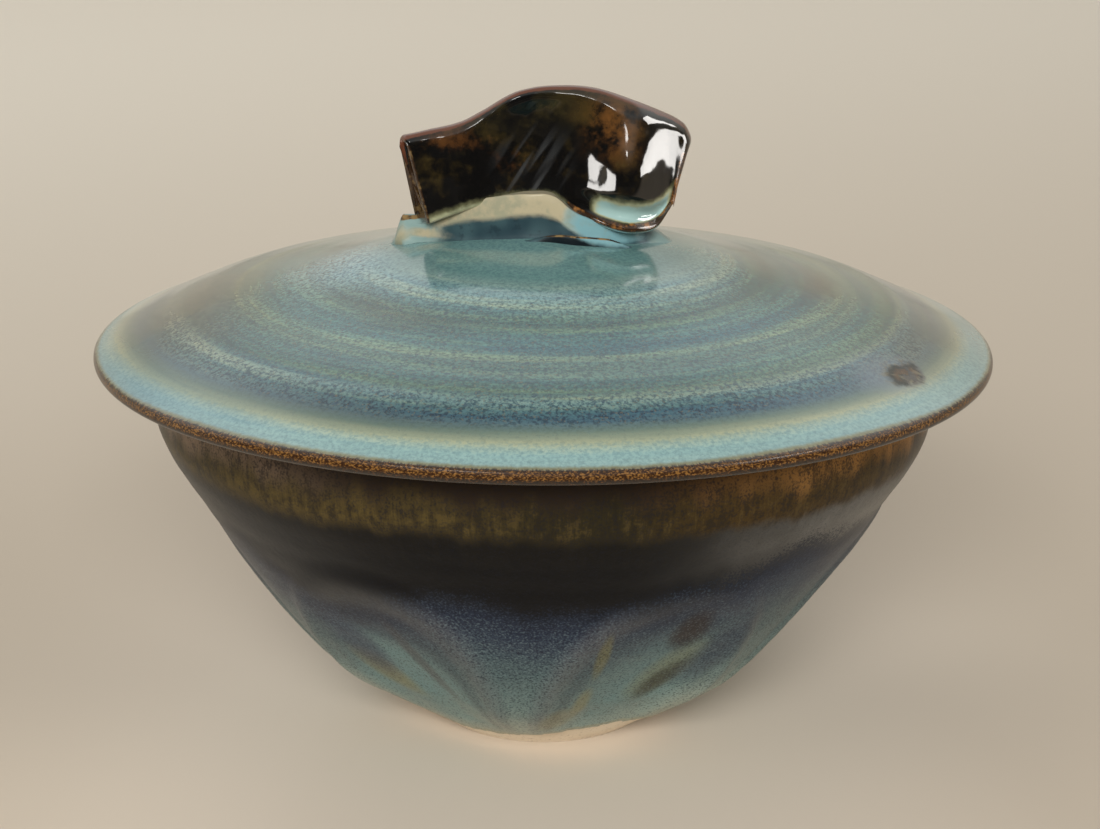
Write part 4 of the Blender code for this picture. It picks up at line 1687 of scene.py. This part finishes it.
    def build(self, material: bpy.types.Material) -> bpy.types.Object:
        """Skin the slab, with rounded edges at its two ends.

        Args:
            material: its glaze.

        Returns:
            The piece.
        """
        turns = [math.pi / 2 * i / 5 for i in reversed(range(6))]
        along = self.end_round / (self.base_length / 2)
        ends = [(-1.0 + along * (1.0 - math.sin(a)), self.end_round * (1.0 - math.cos(a))) for a in turns]
        order = [(-1.0, self.end_round * 3.5), (-1.0, self.end_round * 2.0), *ends]
        steps = [i / self.stations for i in range(1, self.stations)]
        order += [(-1.0 + along + (2.0 - 2.0 * along) * share, 0.0) for share in steps]
        order += [(-u, inset) for u, inset in reversed(ends)]
        order += [(1.0, self.end_round * 2.0)]
        sections = [self.section(u, inset) for u, inset in order]
        rings = [[self.worked(point) for point in ring] for ring, _ in sections]
        skin = ClaySkin(Piece.SLAB, ("rim", "gold", "pool"))
        return skin.close(rings, [marks for _, marks in sections], material)

    @staticmethod
    def worked(point: Triple) -> Triple:
        """A point with the small unevenness of soft clay.

        Args:
            point: a point of the plain slab.

        Returns:
            The point, pushed and lifted a little.
        """
        x, y, z = point
        push = wander(point, 0.0075, 3.1) * 0.22 * MM + wander(point, 0.0028, 8.7) * 0.08 * MM
        lift = wander((x, 0.0, 0.0), 0.0060, 5.9) * 0.25 * MM
        return x, y + push, z + lift


@dataclass(frozen=True)
class ClayWad:
    """The wad of clay that joins the slab to the lid, with a roll along its front."""

    lid: ThrownLid
    handle: PinchedHandle
    past_left: float = 0.0074
    past_right: float = 0.0022
    front: float = 0.0104
    back: float = 0.0115
    fall: float = 0.35
    sink: float = 0.25 * MM       # how far its feathered edge is worked into the lid
    ends_back: float = 3.0 * MM   # how far its two ends bend back
    flap: float = 1.8 * MM        # height of the torn edge at the front right
    ledge: float = 0.1032         # height of the little ledge behind the left end
    bite: float = 0.8 * MM        # how far its underside goes into the lid
    steps: int = 240
    rings: int = 60
    under_step: int = 10          # one ring in so many has a ring beneath it

    def crest(self, x: float) -> float:
        """Height of the top of the wad along X.

        Args:
            x: where along X.

        Returns:
            The height.
        """
        along = x - self.handle.centre_x
        half = self.handle.base_length / 2
        slab = self.handle.foot(min(max(along / half, -1.0), 1.0)) + 0.9 * MM
        slab += 0.9 * MM * smooth_step(8.0 * MM, 2.0 * MM, x) * smooth_step(-24.0 * MM, -16.0 * MM, x)
        return slab - max(abs(along) - half, 0.0) * self.fall

    def plan(self, share: float, angle: float) -> Pair:
        """x and y of a point at a share of the way out in a direction.

        Args:
            share: 0 in the middle, 1 at the edge.
            angle: direction from +X towards the back.

        Returns:
            The two numbers.
        """
        across, along = math.sin(angle), math.cos(angle)
        past = self.past_right if along > 0 else self.past_left
        x = self.handle.centre_x + share * along * (self.handle.base_length / 2 + past)
        reach = self.back if across > 0 else self.front
        y = share * math.copysign(abs(across) ** (1.9 if along < 0 else 0.85), across) * reach
        y += self.ends_back * (smooth_step(-22.0 * MM, -31.0 * MM, x) + smooth_step(16.0 * MM, 26.0 * MM, x))
        return x, y * (1.0 + 0.12 * smooth_step(0.0, 7.0 * MM, x) * smooth_step(20.0 * MM, 14.0 * MM, x))

    def point(self, share: float, angle: float) -> tuple[Triple, tuple[float, float, float, float]]:
        """A point of the top at a share of the way out in a direction, and its marks.

        Args:
            share: 0 in the middle, 1 at the edge.
            angle: direction from +X towards the back.

        Returns:
            The point, and its (ridge, pale, brown, deep) marks.
        """
        across = math.sin(angle)
        x, y = self.plan(share, angle)
        foot = self.lid.surface(x, y) - self.sink
        full = max(self.crest(x) - foot, 0.6 * MM)
        forward = smooth_step(0.1, 0.5, -across)
        low = 0.66 - 0.08 * forward
        shoulder = (1.0 - smooth_step(low, 0.98 - 0.08 * forward, share)) ** (1.4 + 0.5 * forward)
        roll = 0.65 * MM * hump(share, 0.635, 0.060) * forward
        right = plateau(x, (-6.0 * MM, 5.0 * MM), (12.0 * MM, 19.0 * MM)) * forward
        flap = self.flap * right * plateau(share, (0.84, 0.92), (0.955, 1.0))
        ledge = (plateau(x, (-30.5 * MM, -27.6 * MM), (-25.0 * MM, -20.0 * MM))
                 * plateau(y, (-1.0 * MM, 2.6 * MM), (3.0 * MM, 6.5 * MM)))
        z = (foot + full * shoulder + roll + flap) * (1.0 - ledge) + self.ledge * ledge
        depth = smooth_step(-18.0 * MM, -8.0 * MM, x) - smooth_step(2.0 * MM, 8.0 * MM, x)
        depth = 3.1 * MM + 0.7 * MM * depth
        rolled = smooth_step(depth + 1.3 * MM, depth - 1.1 * MM, self.crest(x) - z) * forward
        left = smooth_step(-14.0 * MM, -26.0 * MM, x)
        tail = left * smooth_step(0.1018, 0.1006, z) * smooth_step(0.0990, 0.0998, z) * (1.0 - ledge)
        band = 0.8 * smooth_step(3.0 * MM, 8.0 * MM, x) * hump(share, 0.84, 0.045) * forward
        end = smooth_step(18.0 * MM, 23.0 * MM, x) * 0.8
        pale = max(ledge, left, smooth_step(0.3, -0.2, -across) * 0.4, end)
        line = hump(share, 0.945, 0.022) * smooth_step(0.3, 0.8, right)
        # dark glaze with painted shadow on the steep face under the torn edge
        deep = smooth_step(0.955, 0.975, share) * smooth_step(0.2, 0.7, right)
        return (x, y, z), (max(rolled, tail, band), pale, max(line, hump(ledge, 0.90, 0.10)), deep)

    def build(self, material: bpy.types.Material) -> bpy.types.Object:
        """Skin the wad from its middle out to its edge, and back underneath.

        Args:
            material: its glaze.

        Returns:
            The piece.
        """
        angles = [math.tau * i / self.steps for i in range(self.steps)]
        shares = [ring / self.rings for ring in range(1, self.rings + 1)]
        rows = [[self.point(share, angle) for angle in angles] for share in shares]
        under = rows[self.under_step - 1::self.under_step][::-1]
        rings = [[self.worked(point, share) for point, _ in row] for share, row in zip(shares, rows)]
        rings += [[(x, y, self.lid.surface(x, y) - self.bite) for (x, y, _), _ in row] for row in under]
        marks = [[mark for _, mark in row] for row in rows + under]
        return ClaySkin(Piece.WAD, ("ridge", "pale", "brown", "deep")).close(rings, marks, material)

    @staticmethod
    def worked(point: Triple, share: float) -> Triple:
        """A point with the small unevenness of soft clay, which fades at the edge.

        Args:
            point: a point of the plain wad.
            share: 0 in the middle, 1 at the edge.

        Returns:
            The point, lifted a little.
        """
        x, y, z = point
        hold = 1.0 - smooth_step(0.75, 1.0, share)
        lift = wander(point, 0.0060, 2.3) * 0.35 * MM + wander(point, 0.0022, 6.1) * 0.1 * MM
        return x, y, z + lift * hold


# ---- the studio ---------------------------------------------------------------------------------

@dataclass(frozen=True)
class Lamp:
    """A soft rectangular lamp that faces the pot."""

    name: str
    place: Triple
    size: Pair
    watts: float
    mirrored_in: Piece | None = None         # the piece whose glaze mirrors it; it lights no other
    colour: Colour = (1.0, 0.97, 0.93)
    aim: Triple = (0.0, 0.0, 0.08)

    def build(self) -> None:
        """Hang the lamp; flags keep a mirrored one off every other piece."""
        data = bpy.data.lights.new(self.name, "AREA")
        data.shape = "RECTANGLE"
        data.size, data.size_y = self.size
        data.energy = self.watts
        data.color = self.colour
        lamp = bpy.data.objects.new(self.name, data)
        lamp.location = self.place
        lamp.visible_glossy = bool(self.mirrored_in)
        lamp.visible_diffuse = not self.mirrored_in
        lamp.visible_camera = False
        if self.mirrored_in:
            shone_on = bpy.data.collections.new(self.name + "_on")
            shone_on.objects.link(bpy.data.objects[self.mirrored_in.value])
            lamp.light_linking.receiver_collection = shone_on
        way = Vector(self.aim) - Vector(self.place)
        lamp.rotation_euler = way.to_track_quat("-Z", "Y").to_euler()
        bpy.context.scene.collection.objects.link(lamp)


@dataclass(frozen=True)
class Studio:
    """A pale round cove, soft light and the camera."""

    paper_front: Colour = (0.545, 0.485, 0.405)
    paper_back: Colour = (0.75, 0.71, 0.63)
    # painted light: the paper brighter round the foot, which lifts the pot's shadow
    paper_painted_light_near: Colour = (0.625, 0.565, 0.485)     # round the foot of the pot
    # painted shadow: darkens the paper at the pot's sides
    paper_shadow_aside: Colour = (0.87, 0.86, 0.84)       # tints the paper at the pot's sides
    paper_lit: Colour = (1.16, 1.15, 1.14)         # tints the paper in front of the pot
    dark: Colour = (0.01, 0.01, 0.01)              # what glaze sees of the front
    air_colour: Colour = (1.0, 0.95, 0.87)
    air_strength: float = 0.33
    sky_low: Colour = (1.0, 0.935, 0.80)           # mirrored in glaze
    sky_high: Colour = (0.98, 1.0, 0.98)
    camera_place: Triple = (0.00131, -0.534, 0.2323)
    camera_pitch: float = math.radians(17.65)
    lens: float = 90.85
    floor_radius: float = 2.2
    cove_radius: float = 0.5
    wall_height: float = 0.75
    lamps: tuple[Lamp, ...] = (
        Lamp("front_light", (-0.2, -3.2, 1.65), (2.0, 1.2), 140.0),
        Lamp("back_light", (-0.7, 1.3, 1.60), (1.0, 1.0), 9.0),
        Lamp("window_low", (1.145, -0.070, 0.215), (0.40, 0.26), 3.7, Piece.SLAB),
        Lamp("window_high", (0.974, -0.034, 0.722), (0.50, 0.36), 6.4, Piece.SLAB),
        Lamp("high_lamp", (-0.30, -0.84, 0.90), (0.16, 0.09), 0.55, Piece.SLAB),
        Lamp("low_lamp", (-0.477, -0.130, 0.087), (0.14, 0.09), 0.44, Piece.SLAB),
        Lamp("wad_lamp", (-0.15, -0.84, 0.90), (0.20, 0.09), 0.50, Piece.WAD),
        Lamp("left_strip", (-0.32, -0.34, 1.27), (0.50, 0.07), 1.1, Piece.LID),
        Lamp("right_strip", (0.71, -0.04, 1.05), (0.50, 0.07), 1.1, Piece.LID),
    )

    def build(self) -> None:
        """Make the cove, the lamps, the air round them and the camera."""
        self.cove()
        self.camera()
        for lamp in self.lamps:
            lamp.build()
        self.air()
        bpy.context.scene.view_settings.view_transform = "Standard"

    def camera(self) -> None:
        """The camera that looks down on the front."""
        lens = bpy.data.cameras.new("camera")
        lens.lens = self.lens
        lens.sensor_width = 36.0
        camera = bpy.data.objects.new("camera", lens)
        camera.location = self.camera_place
        camera.rotation_euler = (math.pi / 2 - self.camera_pitch, 0.0, 0.0)
        bpy.context.scene.collection.objects.link(camera)
        bpy.context.scene.camera = camera

    def air(self) -> None:
        """Even pale light from all round, which the glaze mirrors as a bright room with a dim front."""
        world = bpy.data.worlds.new("studio_air")
        world.use_nodes = True
        desk = Desk(world.node_tree)
        towards = desk.node("ShaderNodeTexCoord", {}, {}, "Generated")
        _, y, z = desk.parts(towards)
        glossy = desk.node("ShaderNodeLightPath", {}, {}, "Is Glossy Ray")
        rise = desk.smooth(z, 0.26, 0.58)
        bright = 0.44 + desk.smooth(z, 0.90, 0.68) * (0.15 + rise * 0.45)
        dim = desk.smooth(y, 0.35, -0.25) * desk.smooth(z, 0.92, 0.50)
        mirrored = bright * (1.0 - dim * 0.95)
        sky = desk.mix(rise, self.sky_low, self.sky_high)
        background = world.node_tree.nodes["Background"]
        desk.plug(background.inputs["Color"], desk.mix(glossy, self.air_colour, sky))
        strength = self.air_strength + glossy * (mirrored - self.air_strength)
        desk.plug(background.inputs["Strength"], strength)
        bpy.context.scene.world = world

    def cove(self) -> None:
        """A round floor that curves up into a low wall, all in one pale sheet."""
        outline = [(self.floor_radius * i / 12, 0.0) for i in range(13)]
        outline += arc((self.floor_radius, self.cove_radius), self.cove_radius, -90, 0, 12)[1:]
        outline += [(self.floor_radius + self.cove_radius, self.wall_height)]
        mesh = bpy.data.meshes.new("cove")
        work = bmesh.new()
        verts = [work.verts.new((r, 0.0, z)) for r, z in outline]
        edges = [work.edges.new(pair) for pair in zip(verts, verts[1:])]
        bmesh.ops.spin(work, geom=verts + edges, cent=(0, 0, 0), axis=(0, 0, 1), angle=math.tau, steps=96,
                       use_merge=True)
        bmesh.ops.remove_doubles(work, verts=work.verts, dist=1e-6)
        bmesh.ops.recalc_face_normals(work, faces=work.faces)
        work.normal_update()
        if min(work.faces, key=lambda face: face.calc_center_median().length).normal.z < 0.0:
            bmesh.ops.reverse_faces(work, faces=work.faces)
        work.to_mesh(mesh)
        work.free()
        mesh.shade_smooth()
        sheet = bpy.data.objects.new("cove", mesh)
        bpy.context.scene.collection.objects.link(sheet)
        mesh.materials.append(self.paper())

    def paper(self) -> bpy.types.Material:
        """Pale warm paper. It shows nothing from below, and glaze mirrors its front as dim.

        Returns:
            The material.
        """
        material = bpy.data.materials.new("studio_paper")
        material.use_nodes = True
        desk = GlazeDesk(material.node_tree)
        shader = material.node_tree.nodes["Principled BSDF"]
        x, y = desk.x, desk.y
        tint = desk.mix(desk.smooth(y - x * 0.4, -0.05, 0.9), self.paper_front, self.paper_back)
        # painted light round the foot and in front of the pot, and painted shadow at its sides
        near = desk.smooth(desk.radius, 0.34, 0.05)
        # painted shadow beside the pot
        shadow_aside = desk.smooth(desk.maths("ABSOLUTE", x), 0.045, 0.13) * desk.smooth(y, 0.25, 0.05)
        tint = desk.tinted(desk.mix(near, tint, self.paper_painted_light_near), (shadow_aside, self.paper_shadow_aside),
                           (desk.smooth(y, 0.02, -0.06), self.paper_lit))
        glossy = desk.node("ShaderNodeLightPath", {}, {}, "Is Glossy Ray")
        front = desk.smooth(y, -0.10, -0.32) * glossy
        desk.plug(shader.inputs["Base Color"], desk.mix(front * 0.95, tint, self.dark))
        shader.inputs["Roughness"].default_value = 0.85
        shader.inputs["Specular IOR Level"].default_value = 0.1
        behind = desk.node("ShaderNodeNewGeometry", {}, {}, "Backfacing")
        seen = desk.node("ShaderNodeLightPath", {}, {}, "Is Camera Ray")
        clear = desk.node("ShaderNodeBsdfTransparent")
        shown = desk.node("ShaderNodeMixShader", {}, {0: behind * seen, 1: Wire(desk, shader.outputs[0]),
                                                      2: clear})
        output = material.node_tree.nodes["Material Output"]
        desk.plug(output.inputs["Surface"], shown)
        return material


# ---- the whole pot --------------------------------------------------------------------------------

def place_piece(piece: bpy.types.Object, body: str, node: str) -> None:
    """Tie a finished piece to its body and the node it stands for.

    Args:
        piece: the object.
        body: the body that carries it.
        node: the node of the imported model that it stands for.
    """
    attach(piece, body)
    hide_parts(node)
    LOG.info("%s rides on %s for %s: %d faces", piece.name, body, node, len(piece.data.polygons))


def main() -> None:
    """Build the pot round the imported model, then the studio."""
    logging.basicConfig(level=logging.INFO, format="%(name)s: %(message)s")
    lean = Lean()
    bowl = ThrownBowl(radius=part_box("bowl")[1].x, lean=lean)
    lid = ThrownLid(radius=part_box("lid")[1].x, bowl=bowl, lean=lean)
    handle = PinchedHandle(lid=lid)
    wad = ClayWad(lid=lid, handle=handle)
    rutile = RutileGlaze("rust_and_slate_glaze", height=bowl.height, lean=(lean.x, lean.y),
                         leans_from=bowl.leans_from, glaze_line=bowl.glaze_line,
                         line_sway=bowl.line_sway)
    makers: list[tuple[Callable[[bpy.types.Material], bpy.types.Object], Finish, str, str, str]] = [
        (bowl.build, rutile, "bowl", "bowl", "bowl_glaze"),
        (lid.build, SeaGlaze("sea_blue_glaze", reach=lid.reach), "lid", "lid", "lid_glaze"),
        (wad.build, PooledGlaze("pooled_cream_glaze"), "lid", "handle_base", "pooled_glaze"),
        (handle.build, DarkGlaze("black_brown_glaze"), "lid", "handle", "handle_glaze"),
    ]
    for build, finish, body, node, slot in makers:
        place_piece(build(finish.material()), body, node)
    Studio().build()


if __name__ == "__main__":
    main()
